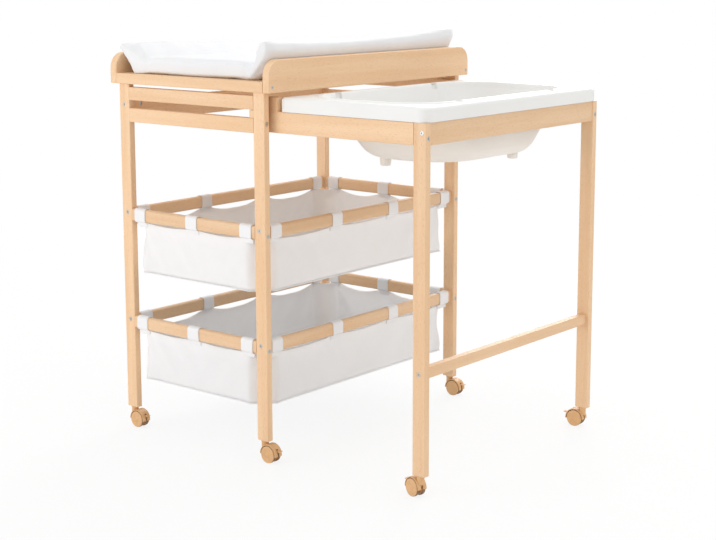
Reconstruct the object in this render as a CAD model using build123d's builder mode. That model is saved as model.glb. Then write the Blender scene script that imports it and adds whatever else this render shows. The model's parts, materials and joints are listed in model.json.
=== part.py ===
# Changing table with a bath on a pull-out carriage, in millimetres.
# X is the pull-out direction, Y runs along the table, Z is up.
# The carriage is drawn pulled out to its stop.
import os
from math import cos, radians, sin

from build123d import *

os.makedirs("parts", exist_ok=True)

# Table frame
post_width = 35.0
post_thickness = 18.0
post_edge = 2.5
frame_depth = 498.0
frame_length = 773.0
caster_height = 52.0
post_top = 892.0
board_thickness = 18.0
board_edge = 2.0

# Guide rails on the short sides, measured down from the post tops
guide_top_drop = 8.0
guide_upper_height = 33.0
guide_slot = 20.0
guide_lower_height = 35.0

# Basket rails
basket_rail_height = 32.0
basket_rail_edge = 6.0
basket_upper_level = 559.0
basket_lower_level = 280.0
long_rail_inset = 2.0

# Baskets
cloth = 1.5
cloth_gap = 0.3
loop_cloth = 1.2
loop_width = 38.0
loop_from_post = 30.0
basket_drop = 131.0
basket_top_chamfer = 56.0
basket_foot_chamfer = 48.0
basket_flare = 4.0

# Tray
tray_overhang_x = 24.0
tray_overhang_y = 7.5
tray_board_thickness = 22.0
tray_board_height = 76.5
tray_corner = 38.0
tray_edge = 3.0
tray_rail_thickness = 22.0
tray_rail_height = 26.0
tray_floor_thickness = 6.0
tray_rebate = 12.5
panel_gap = 0.3

# Changing mat
mat_end_room = 33.0
mat_front_setback = 3.0
mat_foot_gap = 39.0
mat_lip_gap = 2.0
mat_over_board = 11.0
mat_crest_inset = 12.0
mat_lip_rise = 54.5
mat_low_crest = 72.0
mat_high_crest = 94.0
mat_bed = 33.0
mat_bed_crown = 5.0
mat_left_wedge = 93.0
mat_right_wedge = 65.0
mat_end_draw = 7.0
mat_end_radius = 14.0
mat_sag_from_end = 150.0
mat_low_crest_sag = 8.0

# Carriage
open_reach = 448.0
carriage_setback = 30.0
side_rail_tail = 52.0
side_rail_height = 50.0
tub_board_bottom = 797.0
apron_recess = 3.0
crossbar_height = 26.0
crossbar_bottom = 274.0
rear_rail_from_flange = 5.0
runner_length = 14.6
runner_stop_gap = 0.4
runner_side_gap = 2.0
runner_lift = 0.3
runner_head_gap = 1.3

# Bath
bath_wall = 2.2
skirt_proud = 1.5
bath_seat_gap = 0.3
tail_gap = 0.4
skirt_depth = 33.0
flange_edge = 6.0
flange_corner = 26.0
flange_rear_from_table = 15.4
rim_setback_front = 42.0
rim_setback_rear = 43.0
rim_setback_end = 45.0
rim_corner = 105.0
basin_depth = 149.5
basin_floor_rear = 25.0
basin_floor_front = 25.0
basin_floor_near = 127.0
basin_floor_far = 130.0
basin_corner_near = 128.0
basin_corner_far = 62.0
basin_foot_fillet = 26.0
bead_width = 11.0
bead_height = 3.0
bead_edge = 2.2
notch_width = 20.0
notch_from_middle = 191.0
foot_radius = 13.5
foot_height = 16.5
foot_half_near = 54.0
foot_half_far = 104.0
foot_inset_near = 28.0
foot_inset_far = 38.0
drain_radius = 17.0
drain_from_floor_end = 70.0
plug_gap = 0.3
plug_head_radius = 21.0
plug_head_height = 3.0
plug_stem_height = 4.0
plug_ring_radius = 7.0
plug_ring_wire = 1.6
plug_boss_radius = 3.5
plug_boss_height = 3.5

# Bolts, barrel nuts, dowels and screws
bolt_radius = 3.0
bolt_hole_radius = 3.25
bolt_length = 70.0
bolt_end_room = 3.0
bolt_head_radius = 5.2
bolt_head_height = 3.2
bolt_sink = 3.4
bolt_sink_radius = 5.6
bolt_key_radius = 2.3
bolt_key_depth = 2.0
nut_radius = 5.0
nut_length = 14.0
nut_gap = 0.1
nut_from_joint = 29.0
nut_bore_gap = 0.06
dowel_radius = 3.0
dowel_gap = 0.05
dowel_in_post = 12.0
dowel_in_rail = 20.0
dowel_end_room = 0.5
guide_dowel_from_edge = 8.0
rear_dowel_from_edge = 12.0
tray_dowel_in_rail = 9.0
tray_dowel_in_post = 24.0
screw_radius = 2.2
screw_head_radius = 4.2
screw_length = 50.0
screw_sink = 3.0
screw_rise = 13.0

# Bolt levels
left_board_bolt_level = 839.0
guide_bolt_level = 819.0
short_rail_bolt_offset = 6.0
long_rail_bolt_offset = 6.0
side_rail_bolt_level = 813.0
apron_bolt_level = 825.0

# Casters
wheel_radius = 21.0
wheel_thickness = 7.6
wheel_edge = 2.2
wheel_dish_radius = 15.5
wheel_dish_depth = 0.8
web_half = 4.5
wheel_side_gap = 0.4
trail = 18.0
hood_gap = 0.9
hood_wall = 1.7
hood_half = 9.4
hood_bottom = 17.0
neck_radius = 10.0
neck_bottom = 31.0
swivel_gap = 0.3
stem_radius = 4.0
stem_length = 34.0
stem_gap = 0.06
stem_end_room = 2.0
pin_radius = 2.4
pin_gap = 0.05
pin_end_gap = 0.05
hub_radius = 7.0
table_caster_angle = 0.0
tub_front_caster_angle = 165.0
tub_back_caster_angle = 185.0
lever_half = 2.6
lever_slot_gap = 0.3
lever_thickness = 2.8
lever_pivot_out = 12.0
lever_pivot_up = 10.5
lever_reach = 18.0
lever_tip_half = 6.0
lever_tip_length = 5.5
lever_hub_radius = 2.7
lever_pin_radius = 1.3
lever_pin_gap = 0.05
lever_pin_cover = 0.4
lever_travel_room = 5.4
cut_over = 2.0

# Planes of the frame, with the origin under the middle of the whole object
overall_depth = tray_overhang_x + frame_depth + open_reach + skirt_proud
x_right = overall_depth / 2 - open_reach - skirt_proud
x_left = x_right - frame_depth
y_back = frame_length / 2
y_front = -y_back
x_right_inner = x_right - post_width
x_left_inner = x_left + post_width
y_front_inner = y_front + post_thickness
y_back_inner = y_back - post_thickness
x_right_post = x_right - post_width / 2
x_left_post = x_left + post_width / 2
y_front_post = y_front + post_thickness / 2
y_back_post = y_back - post_thickness / 2

guide_upper_top = post_top - guide_top_drop
guide_upper_bottom = guide_upper_top - guide_upper_height
guide_lower_top = guide_upper_bottom - guide_slot
guide_lower_bottom = guide_lower_top - guide_lower_height
left_board_height = guide_upper_bottom - guide_lower_bottom

x_right_rail = x_right_post - long_rail_inset
x_left_rail = x_left_post + long_rail_inset

y_tub_front = y_front + carriage_setback
y_tub_back = y_back - carriage_setback
x_leg_outer = x_right + open_reach
x_leg = x_leg_outer - post_width / 2
x_leg_inner = x_leg_outer - post_width
x_tail = x_right - side_rail_tail
leg_top = tub_board_bottom + side_rail_height
skirt_bottom = leg_top + bath_seat_gap
flange_top = skirt_bottom + skirt_depth
flange_under = flange_top - bath_wall
cross_top = flange_under - bath_seat_gap
cross_height = cross_top - tub_board_bottom
y_tub_front_mid = y_tub_front + board_thickness / 2
y_tub_back_mid = y_tub_back - board_thickness / 2
x_apron = x_leg_outer - apron_recess - board_thickness / 2

span_x = x_right_inner - x_left_inner
span_y = y_back_inner - y_front_inner
tub_span_y = y_tub_back - y_tub_front - 2 * board_thickness


def drill_x(points, radius, depth):
    # Round cuts along X, each centred on its point
    with Locations(*points):
        Cylinder(radius, depth, rotation=(0, 90, 0), mode=Mode.SUBTRACT)


def drill_y(points, radius, depth):
    # Round cuts along Y, each centred on its point
    with Locations(*points):
        Cylinder(radius, depth, rotation=(90, 0, 0), mode=Mode.SUBTRACT)


def drill_z(points, radius, depth):
    # Round cuts along Z, each centred on its point
    with Locations(*points):
        Cylinder(radius, depth, mode=Mode.SUBTRACT)


def save(piece, name):
    piece.label = name
    export_step(piece, "parts/" + name + ".step")


# Bolt places: each is where the head's outer face lies, with the way the bolt runs
upper_short = basket_upper_level - short_rail_bolt_offset
lower_short = basket_lower_level - short_rail_bolt_offset
upper_long = basket_upper_level + long_rail_bolt_offset
lower_long = basket_lower_level + long_rail_bolt_offset
table_bolts_x = []
table_bolts_y = []
for level in (guide_bolt_level, upper_short, lower_short):
    for y_post in (y_front_post, y_back_post):
        table_bolts_x.append((x_left, y_post, level, 1))
        table_bolts_x.append((x_right, y_post, level, -1))
for level in (upper_long, lower_long):
    for x_rail in (x_left_rail, x_right_rail):
        table_bolts_y.append((x_rail, y_front, level, 1))
        table_bolts_y.append((x_rail, y_back, level, -1))
table_bolts_y.append((x_left_post, y_front, left_board_bolt_level, 1))
table_bolts_y.append((x_left_post, y_back, left_board_bolt_level, -1))
crossbar_level = crossbar_bottom + crossbar_height / 2
carriage_bolts_x = [
    (x_leg_outer, y_tub_front_mid, side_rail_bolt_level, -1),
    (x_leg_outer, y_tub_back_mid, side_rail_bolt_level, -1),
]
carriage_bolts_y = [
    (x_apron, y_tub_front, apron_bolt_level, 1),
    (x_apron, y_tub_back, apron_bolt_level, -1),
    (x_leg, y_tub_front, crossbar_level, 1),
    (x_leg, y_tub_back, crossbar_level, -1),
]


def bolt_holes_x(bolts, x_from, x_to):
    # Clearance holes and head sinks of the bolts that run along X, for one piece
    for x, y, z, way in bolts:
        x_end = x + way * (bolt_length + bolt_end_room)
        drill_x([((x + x_end) / 2, y, z)], bolt_hole_radius, abs(x_end - x))
        if x_from <= x <= x_to:
            drill_x([(x, y, z)], bolt_sink_radius, 2 * bolt_sink)


def bolt_holes_y(bolts, y_from, y_to):
    # The same along Y
    for x, y, z, way in bolts:
        y_end = y + way * (bolt_length + bolt_end_room)
        drill_y([(x, (y + y_end) / 2, z)], bolt_hole_radius, abs(y_end - y))
        if y_from <= y <= y_to:
            drill_y([(x, y, z)], bolt_sink_radius, 2 * bolt_sink)


def near(values, places, reach):
    return [p for p in places if all(abs(p[i] - values[i]) < reach[i] for i in range(3))]


# Dowel places: the joint plane, with the way the dowel runs into the rail
guide_dowel_levels = (
    guide_upper_bottom + guide_dowel_from_edge,
    guide_upper_top - guide_dowel_from_edge,
)
table_dowels_x = []
for level in guide_dowel_levels:
    for y_post in (y_front_post, y_back_post):
        table_dowels_x.append((x_left_inner, y_post, level, 1))
        table_dowels_x.append((x_right_inner, y_post, level, -1))
tray_dowels = []
for x_post in (x_left_post, x_right_post):
    for y_post in (y_front_post, y_back_post):
        tray_dowels.append((x_post, y_post, post_top))
dowel_length = dowel_in_post + dowel_in_rail


def dowel_holes_x(dowels):
    for x, y, z, way in dowels:
        x_mid = x + way * (dowel_in_rail - dowel_in_post) / 2
        drill_x([(x_mid, y, z)], dowel_radius + dowel_gap, dowel_length + 2 * dowel_end_room)


def dowel_holes_tray():
    tray_length = tray_dowel_in_rail + tray_dowel_in_post
    for x, y, z in tray_dowels:
        z_mid = z + (tray_dowel_in_rail - tray_dowel_in_post) / 2
        drill_z([(x, y, z_mid)], dowel_radius + dowel_gap, tray_length + 2 * dowel_end_room)


# Posts
def make_post(x_mid, y_mid):
    post_height = post_top - caster_height
    with BuildPart() as post:
        with BuildSketch(Plane.XY.offset(caster_height)):
            with Locations((x_mid, y_mid)):
                RectangleRounded(post_width, post_thickness, post_edge)
        extrude(amount=post_height)
        reach = (post_width, post_thickness, post_top)
        bolts_x = near((x_mid, y_mid, 0), table_bolts_x, reach)
        bolts_y = near((x_mid, y_mid, 0), table_bolts_y, reach)
        bolt_holes_x(bolts_x, x_mid - post_width, x_mid + post_width)
        bolt_holes_y(bolts_y, y_mid - post_width, y_mid + post_width)
        dowel_holes_x(near((x_mid, y_mid, 0), table_dowels_x, reach))
        dowel_holes_tray()
        bore = stem_length + stem_end_room
        drill_z([(x_mid, y_mid, caster_height + bore / 2)], stem_radius + stem_gap, bore)
    return post.part


post_front_left = make_post(x_left_post, y_front_post)
post_front_right = make_post(x_right_post, y_front_post)
post_back_left = make_post(x_left_post, y_back_post)
post_back_right = make_post(x_right_post, y_back_post)
save(post_front_left, "post_front_left")
save(post_front_right, "post_front_right")
save(post_back_left, "post_back_left")
save(post_back_right, "post_back_right")


# Rails that run along X between two posts; the nut holes open on the inner face
def make_rail_x(y_mid, bottom, height, edge, inner_way, bolted):
    x_mid = (x_left_inner + x_right_inner) / 2
    with BuildPart() as rail:
        with BuildSketch(Plane.YZ.offset(x_left_inner)):
            with Locations((y_mid, bottom + height / 2)):
                RectangleRounded(board_thickness, height, edge)
        extrude(amount=span_x)
        if bolted:
            bolts = [b for b in table_bolts_x if abs(b[1] - y_mid) < post_width]
            bolts = [b for b in bolts if bottom < b[2] < bottom + height]
            bolt_holes_x(bolts, x_mid, x_mid)
            depth = (board_thickness + nut_length) / 2 + nut_gap
            y_face = y_mid + inner_way * board_thickness / 2
            for x, y, z, way in bolts:
                x_nut = x + way * (post_width + nut_from_joint)
                drill_y([(x_nut, y_face, z)], nut_radius + nut_gap, 2 * depth)
        else:
            dowel_holes_x([d for d in table_dowels_x if abs(d[1] - y_mid) < post_width])
    return rail.part


guide_args = (guide_upper_bottom, guide_upper_height, board_edge)
front_guide_upper = make_rail_x(y_front_post, *guide_args, 1, False)
back_guide_upper = make_rail_x(y_back_post, *guide_args, -1, False)
guide_args = (guide_lower_bottom, guide_lower_height, board_edge)
front_guide_lower = make_rail_x(y_front_post, *guide_args, 1, True)
back_guide_lower = make_rail_x(y_back_post, *guide_args, -1, True)
save(front_guide_upper, "front_guide_upper")
save(back_guide_upper, "back_guide_upper")
save(front_guide_lower, "front_guide_lower")
save(back_guide_lower, "back_guide_lower")


# Boards that run along Y between two posts
def make_rail_y(x_mid, bottom, height, edge, inner_way):
    y_mid = (y_front + y_back) / 2
    with BuildPart() as rail:
        with BuildSketch(Plane.XZ.offset(-y_back_inner)):
            with Locations((x_mid, bottom + height / 2)):
                RectangleRounded(board_thickness, height, edge)
        extrude(amount=span_y)
        bolts = [b for b in table_bolts_y if abs(b[0] - x_mid) < post_width]
        bolts = [b for b in bolts if bottom < b[2] < bottom + height]
        bolt_holes_y(bolts, y_mid, y_mid)
        depth = (board_thickness + nut_length) / 2 + nut_gap
        x_face = x_mid + inner_way * board_thickness / 2
        for x, y, z, way in bolts:
            y_nut = y + way * (post_thickness + nut_from_joint)
            drill_x([(x_face, y_nut, z)], nut_radius + nut_gap, 2 * depth)
    return rail.part


left_args = (guide_lower_bottom, left_board_height, board_edge)
left_long_board = make_rail_y(x_left_post, *left_args, 1)
save(left_long_board, "left_long_board")

for tier, level in (("upper", basket_upper_level), ("lower", basket_lower_level)):
    rail_args = (level - basket_rail_height / 2, basket_rail_height, basket_rail_edge)
    save(make_rail_x(y_front_post, *rail_args, 1, True), tier + "_front_basket_rail")
    save(make_rail_x(y_back_post, *rail_args, -1, True), tier + "_back_basket_rail")
    save(make_rail_y(x_left_rail, *rail_args, 1), tier + "_left_basket_rail")
    save(make_rail_y(x_right_rail, *rail_args, -1), tier + "_right_basket_rail")


# Baskets: a bag of cloth with cut corners, under fourteen loops round the rails
basket_mid_x = (x_left_rail + x_right_rail) / 2
basket_mid_y = (y_front_post + y_back_post) / 2
basket_width = x_right_rail - x_left_rail
basket_length = y_back_post - y_front_post
short_loops = (
    x_left_inner + loop_from_post,
    basket_mid_x,
    x_right_inner - loop_from_post,
)
long_first = y_front_inner + loop_from_post
long_step = (span_y - 2 * loop_from_post) / 3
long_loops = [long_first + long_step * i for i in range(4)]


def make_basket(level):
    rail_bottom = level - basket_rail_height / 2
    bag_top = rail_bottom - cloth_gap - loop_cloth / 2
    bag_bottom = rail_bottom - basket_drop
    hole_height = basket_rail_height + 2 * cloth_gap
    hole_width = board_thickness + 2 * cloth_gap
    with BuildPart() as basket:
        skins = (
            (bag_bottom, cloth / 2, Mode.ADD),
            (bag_bottom + cloth, -cloth / 2, Mode.SUBTRACT),
        )
        for floor_at, half_cloth, way in skins:
            flare = half_cloth + basket_flare
            with BuildSketch(Plane.XY.offset(floor_at)) as foot:
                with Locations((basket_mid_x, basket_mid_y)):
                    Rectangle(basket_width + 2 * flare, basket_length + 2 * flare)
                chamfer(foot.vertices(), length=basket_foot_chamfer)
            with BuildSketch(Plane.XY.offset(bag_top)) as mouth:
                with Locations((basket_mid_x, basket_mid_y)):
                    Rectangle(basket_width + 2 * half_cloth, basket_length + 2 * half_cloth)
                chamfer(mouth.vertices(), length=basket_top_chamfer)
            loft(ruled=True, mode=way)
        for y_mid in (y_front_post, y_back_post):
            for x_mid in short_loops:
                with BuildSketch(Plane.YZ.offset(x_mid - loop_width / 2)):
                    with Locations((y_mid, level)):
                        RectangleRounded(
                            hole_width + 2 * loop_cloth,
                            hole_height + 2 * loop_cloth,
                            basket_rail_edge + cloth_gap + loop_cloth,
                        )
                        RectangleRounded(
                            hole_width,
                            hole_height,
                            basket_rail_edge + cloth_gap,
                            mode=Mode.SUBTRACT,
                        )
                extrude(amount=loop_width)
        for x_mid in (x_left_rail, x_right_rail):
            for y_mid in long_loops:
                with BuildSketch(Plane.XZ.offset(-y_mid - loop_width / 2)):
                    with Locations((x_mid, level)):
                        RectangleRounded(
                            hole_width + 2 * loop_cloth,
                            hole_height + 2 * loop_cloth,
                            basket_rail_edge + cloth_gap + loop_cloth,
                        )
                        RectangleRounded(
                            hole_width,
                            hole_height,
                            basket_rail_edge + cloth_gap,
                            mode=Mode.SUBTRACT,
                        )
                extrude(amount=loop_width)
    return basket.part


save(make_basket(basket_upper_level), "upper_basket")
save(make_basket(basket_lower_level), "lower_basket")

# Tray on the post tops
tray_x_min = x_left - tray_overhang_x
tray_x_max = x_right + tray_overhang_x
tray_y_min = y_front - tray_overhang_y
tray_y_max = y_back + tray_overhang_y
tray_inner_min = tray_x_min + tray_board_thickness
tray_inner_max = tray_x_max - tray_board_thickness
tray_mid_x = (tray_x_min + tray_x_max) / 2
tray_length = tray_y_max - tray_y_min
tray_rail_length = tray_inner_max - tray_inner_min
tray_floor_top = post_top + tray_rail_height
screw_level = post_top + screw_rise
tray_screw_rows = (
    tray_y_min + tray_rail_thickness / 2,
    tray_y_max - tray_rail_thickness / 2,
)


def make_tray_rail(y_outer, way):
    y_mid = y_outer + way * tray_rail_thickness / 2
    y_rebate = y_outer + way * (tray_rail_thickness - tray_rebate / 2 + cut_over / 2)
    with BuildPart() as rail:
        with BuildSketch(Plane.YZ.offset(tray_inner_min)):
            with Locations((y_mid, post_top + tray_rail_height / 2)):
                RectangleRounded(tray_rail_thickness, tray_rail_height, board_edge)
            with Locations((y_rebate, tray_floor_top - tray_floor_thickness / 2 + cut_over / 2)):
                Rectangle(
                    tray_rebate + cut_over,
                    tray_floor_thickness + cut_over,
                    mode=Mode.SUBTRACT,
                )
        extrude(amount=tray_rail_length)
        dowel_holes_tray()
        screw_hole = screw_length - tray_board_thickness + dowel_end_room
        for x_face, x_way in ((tray_inner_min, 1), (tray_inner_max, -1)):
            x_hole = x_face + x_way * screw_hole / 2
            drill_x([(x_hole, y_mid, screw_level)], screw_radius + dowel_gap, screw_hole)
    return rail.part


save(make_tray_rail(tray_y_min, 1), "tray_front_rail")
save(make_tray_rail(tray_y_max, -1), "tray_back_rail")


def make_tray_board(x_outer, way):
    x_start = min(x_outer, x_outer + way * tray_board_thickness)
    with BuildPart() as board:
        with BuildSketch(Plane.YZ.offset(x_start)) as side:
            with Locations(((tray_y_min + tray_y_max) / 2, post_top + tray_board_height / 2)):
                Rectangle(tray_length, tray_board_height)
            fillet(side.vertices().group_by(Axis.Y)[-1], radius=tray_corner)
            fillet(side.vertices().group_by(Axis.Y)[0], radius=board_edge)
        extrude(amount=tray_board_thickness)
        ends = board.faces().sort_by(Axis.X)
        fillet(ends[0].edges() + ends[-1].edges(), radius=tray_edge)
        for y_row in tray_screw_rows:
            shank = tray_board_thickness + 2 * cut_over
            x_mid = x_outer + way * tray_board_thickness / 2
            drill_x([(x_mid, y_row, screw_level)], screw_radius + dowel_gap, shank)
            drill_x([(x_outer, y_row, screw_level)], screw_head_radius + nut_gap, 2 * screw_sink)
    return board.part


save(make_tray_board(tray_x_min, 1), "tray_left_board")
save(make_tray_board(tray_x_max, -1), "tray_right_board")

floor_y_half = tray_length / 2 - tray_rail_thickness + tray_rebate - panel_gap
floor_width = tray_rail_length - 2 * panel_gap
with BuildPart() as tray_floor:
    with BuildSketch(Plane.XY.offset(tray_floor_top - tray_floor_thickness)):
        with Locations((tray_mid_x, (y_front + y_back) / 2)):
            Rectangle(floor_width, 2 * floor_y_half)
    extrude(amount=tray_floor_thickness)
save(tray_floor.part, "tray_floor")

# Changing mat: a padded trough between the tray boards, its right side the higher one
mat_base = tray_floor_top + panel_gap
mat_y_front = y_front + mat_front_setback
mat_y_back = mat_y_front + frame_length - mat_end_room
mat_base_half = tray_rail_length / 2 - mat_foot_gap
mat_lip_half = tray_rail_length / 2 - mat_lip_gap
mat_crest_half = tray_rail_length / 2 + mat_over_board
mat_left_foot = tray_rail_length / 2 - mat_left_wedge
mat_right_foot = tray_rail_length / 2 - mat_right_wedge
# Each place along the mat, with how far its crests and sides are drawn in there,
# and how far the lower crest sags
mat_places = (
    (mat_y_back, mat_end_draw, 0),
    (mat_y_back - mat_end_radius, 0, 0),
    (mat_y_back - mat_sag_from_end, 0, mat_low_crest_sag),
    (mat_y_front + mat_sag_from_end, 0, mat_low_crest_sag),
    (mat_y_front + mat_end_radius, 0, 0),
    (mat_y_front, mat_end_draw, 0),
)
with BuildPart() as changing_mat:
    for place, draw, sag in mat_places:
        half = mat_base_half - draw
        lip = mat_lip_half - draw
        crest = mat_crest_half - draw
        low = mat_low_crest - draw - sag
        high = mat_high_crest - draw
        bed = mat_bed - draw
        crest_in = crest - mat_crest_inset
        low_waist = (mat_lip_rise + low) / 2
        high_waist = (mat_lip_rise + high) / 2
        bed_mid = bed + mat_bed_crown
        with BuildSketch(Plane((tray_mid_x, place, mat_base), (1, 0, 0), (0, -1, 0))):
            with BuildLine():
                Line((-half, 0), (half, 0))
                Line((half, 0), (lip, mat_lip_rise))
                ThreePointArc((lip, mat_lip_rise), (crest, high_waist), (crest_in, high))
                Line((crest_in, high), (mat_right_foot, bed))
                ThreePointArc((mat_right_foot, bed), (0, bed_mid), (-mat_left_foot, bed))
                Line((-mat_left_foot, bed), (-crest_in, low))
                ThreePointArc((-crest_in, low), (-crest, low_waist), (-lip, mat_lip_rise))
                Line((-lip, mat_lip_rise), (-half, 0))
            make_face()
    loft(ruled=True)
save(changing_mat.part, "changing_mat")

# Carriage: legs, apron, side rails, rear rail and crossbar
cross_mid = tub_board_bottom + cross_height / 2


def make_leg(y_mid):
    with BuildPart() as leg:
        with BuildSketch(Plane.XY.offset(caster_height)):
            with Locations((x_leg, y_mid)):
                RectangleRounded(post_width, post_thickness, post_edge)
        extrude(amount=leg_top - caster_height)
        reach = (post_width, post_thickness, post_top)
        bolts_x = near((x_leg, y_mid, 0), carriage_bolts_x, reach)
        bolts_y = near((x_leg, y_mid, 0), carriage_bolts_y, reach)
        bolt_holes_x(bolts_x, x_leg, x_leg_outer)
        bolt_holes_y(bolts_y, y_mid - post_width, y_mid + post_width)
        bore = stem_length + stem_end_room
        drill_z([(x_leg, y_mid, caster_height + bore / 2)], stem_radius + stem_gap, bore)
    return leg.part


save(make_leg(y_tub_front_mid), "tub_leg_front")
save(make_leg(y_tub_back_mid), "tub_leg_back")


def make_cross_piece(x_mid, bottom, height):
    # A board along Y between the two legs
    y_start = y_tub_front + board_thickness
    with BuildPart() as board:
        with BuildSketch(Plane.XZ.offset(-y_start - tub_span_y)):
            with Locations((x_mid, bottom + height / 2)):
                RectangleRounded(board_thickness, height, board_edge)
        extrude(amount=tub_span_y)
        bolts = [b for b in carriage_bolts_y if bottom < b[2] < bottom + height]
        bolt_holes_y(bolts, (y_front + y_back) / 2, (y_front + y_back) / 2)
        depth = (board_thickness + nut_length) / 2 + nut_gap
        for x, y, z, way in bolts:
            y_nut = y + way * (post_thickness + nut_from_joint)
            x_face = x_mid - board_thickness / 2
            drill_x([(x_face, y_nut, z)], nut_radius + nut_gap, 2 * depth)
    return board.part


save(make_cross_piece(x_apron, tub_board_bottom, cross_height), "tub_apron")
save(make_cross_piece(x_leg, crossbar_bottom, crossbar_height), "tub_crossbar")

# Rear rail and runners are held by dowels through their joints with the side rails
flange_x_rear = x_right + flange_rear_from_table
x_rear_rail = flange_x_rear + bath_wall + rear_rail_from_flange + board_thickness / 2
runner_x = x_right_inner - runner_stop_gap - runner_length / 2
runner_bottom = guide_lower_top + runner_lift
runner_height = guide_slot - runner_lift - runner_head_gap
runner_level = runner_bottom + runner_height / 2
runner_reach = y_tub_front - y_front - runner_side_gap
rear_dowel_levels = (
    tub_board_bottom + rear_dowel_from_edge,
    leg_top - rear_dowel_from_edge,
)
tub_dowels_y = []
for y_face, way in ((y_tub_front + board_thickness, 1), (y_tub_back - board_thickness, -1)):
    for level in rear_dowel_levels:
        tub_dowels_y.append((x_rear_rail, y_face, level, way))
runner_dowels_y = [
    (runner_x, y_tub_front, runner_level, -1),
    (runner_x, y_tub_back, runner_level, 1),
]


def dowel_holes_y(dowels):
    for x, y, z, way in dowels:
        y_mid = y + way * (dowel_in_rail - dowel_in_post) / 2
        drill_y([(x, y_mid, z)], dowel_radius + dowel_gap, dowel_length + 2 * dowel_end_room)


def make_side_rail(y_mid, inner_way):
    rail_length = x_leg_inner - x_tail
    tail_length = flange_x_rear - tail_gap - x_tail
    tail_height = flange_top - tub_board_bottom
    with BuildPart() as rail:
        with BuildSketch(Plane.YZ.offset(x_tail)):
            with Locations((y_mid, tub_board_bottom + side_rail_height / 2)):
                RectangleRounded(board_thickness, side_rail_height, board_edge)
        extrude(amount=rail_length)
        with BuildSketch(Plane.YZ.offset(x_tail)):
            with Locations((y_mid, tub_board_bottom + tail_height / 2)):
                RectangleRounded(board_thickness, tail_height, board_edge)
        extrude(amount=tail_length)
        bolts = [b for b in carriage_bolts_x if abs(b[1] - y_mid) < post_width]
        bolt_holes_x(bolts, x_tail, x_tail)
        depth = (board_thickness + nut_length) / 2 + nut_gap
        y_face = y_mid + inner_way * board_thickness / 2
        for x, y, z, way in bolts:
            x_nut = x + way * (post_width + nut_from_joint)
            drill_y([(x_nut, y_face, z)], nut_radius + nut_gap, 2 * depth)
        dowel_holes_y([d for d in tub_dowels_y if abs(d[1] - y_mid) < post_width])
        dowel_holes_y([d for d in runner_dowels_y if abs(d[1] - y_mid) < post_width])
    return rail.part


save(make_side_rail(y_tub_front_mid, 1), "tub_side_rail_front")
save(make_side_rail(y_tub_back_mid, -1), "tub_side_rail_back")

with BuildPart() as tub_rear_rail:
    with BuildSketch(Plane.XZ.offset(-y_tub_back + board_thickness)):
        with Locations((x_rear_rail, cross_mid)):
            RectangleRounded(board_thickness, cross_height, board_edge)
    extrude(amount=tub_span_y)
    dowel_holes_y(tub_dowels_y)
save(tub_rear_rail.part, "tub_rear_rail")

with BuildPart() as tub_runners:
    for y_mid in (y_tub_front - runner_reach / 2, y_tub_back + runner_reach / 2):
        with BuildSketch(Plane.XY.offset(runner_bottom)):
            with Locations((runner_x, y_mid)):
                RectangleRounded(runner_length, runner_reach, board_edge)
        extrude(amount=runner_height)
    dowel_holes_y(runner_dowels_y)
save(tub_runners.part, "tub_runners")

# Bath: flange with a skirt, a raised bead round the rim, a tapered basin on four feet
flange_x_front = x_leg_outer + skirt_proud
flange_y_half = (y_tub_back - y_tub_front) / 2 + skirt_proud
flange_x_mid = (flange_x_rear + flange_x_front) / 2
flange_x_size = flange_x_front - flange_x_rear
bath_mid_y = (y_front + y_back) / 2
rim_x_min = flange_x_rear + rim_setback_rear
rim_x_max = flange_x_front - rim_setback_front
rim_x_mid = (rim_x_min + rim_x_max) / 2
rim_x_size = rim_x_max - rim_x_min
rim_y_size = 2 * (flange_y_half - rim_setback_end)
floor_x_min = rim_x_min + basin_floor_rear
floor_x_max = rim_x_max - basin_floor_front
floor_x_mid = (floor_x_min + floor_x_max) / 2
floor_x_size = floor_x_max - floor_x_min
floor_y_size = rim_y_size - basin_floor_near - basin_floor_far
floor_y_min = bath_mid_y - rim_y_size / 2 + basin_floor_near
floor_y_max = floor_y_min + floor_y_size
floor_y_mid = (floor_y_min + floor_y_max) / 2
basin_under = flange_top - basin_depth
foot_places = [
    (floor_x_mid + side * half, y)
    for half, y in (
        (foot_half_near, floor_y_min + foot_inset_near),
        (foot_half_far, floor_y_max - foot_inset_far),
    )
    for side in (-1, 1)
]
drain_y = floor_y_max - drain_from_floor_end
bead_x = rim_x_size + 2 * bead_width
bead_y = rim_y_size + 2 * bead_width

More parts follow.
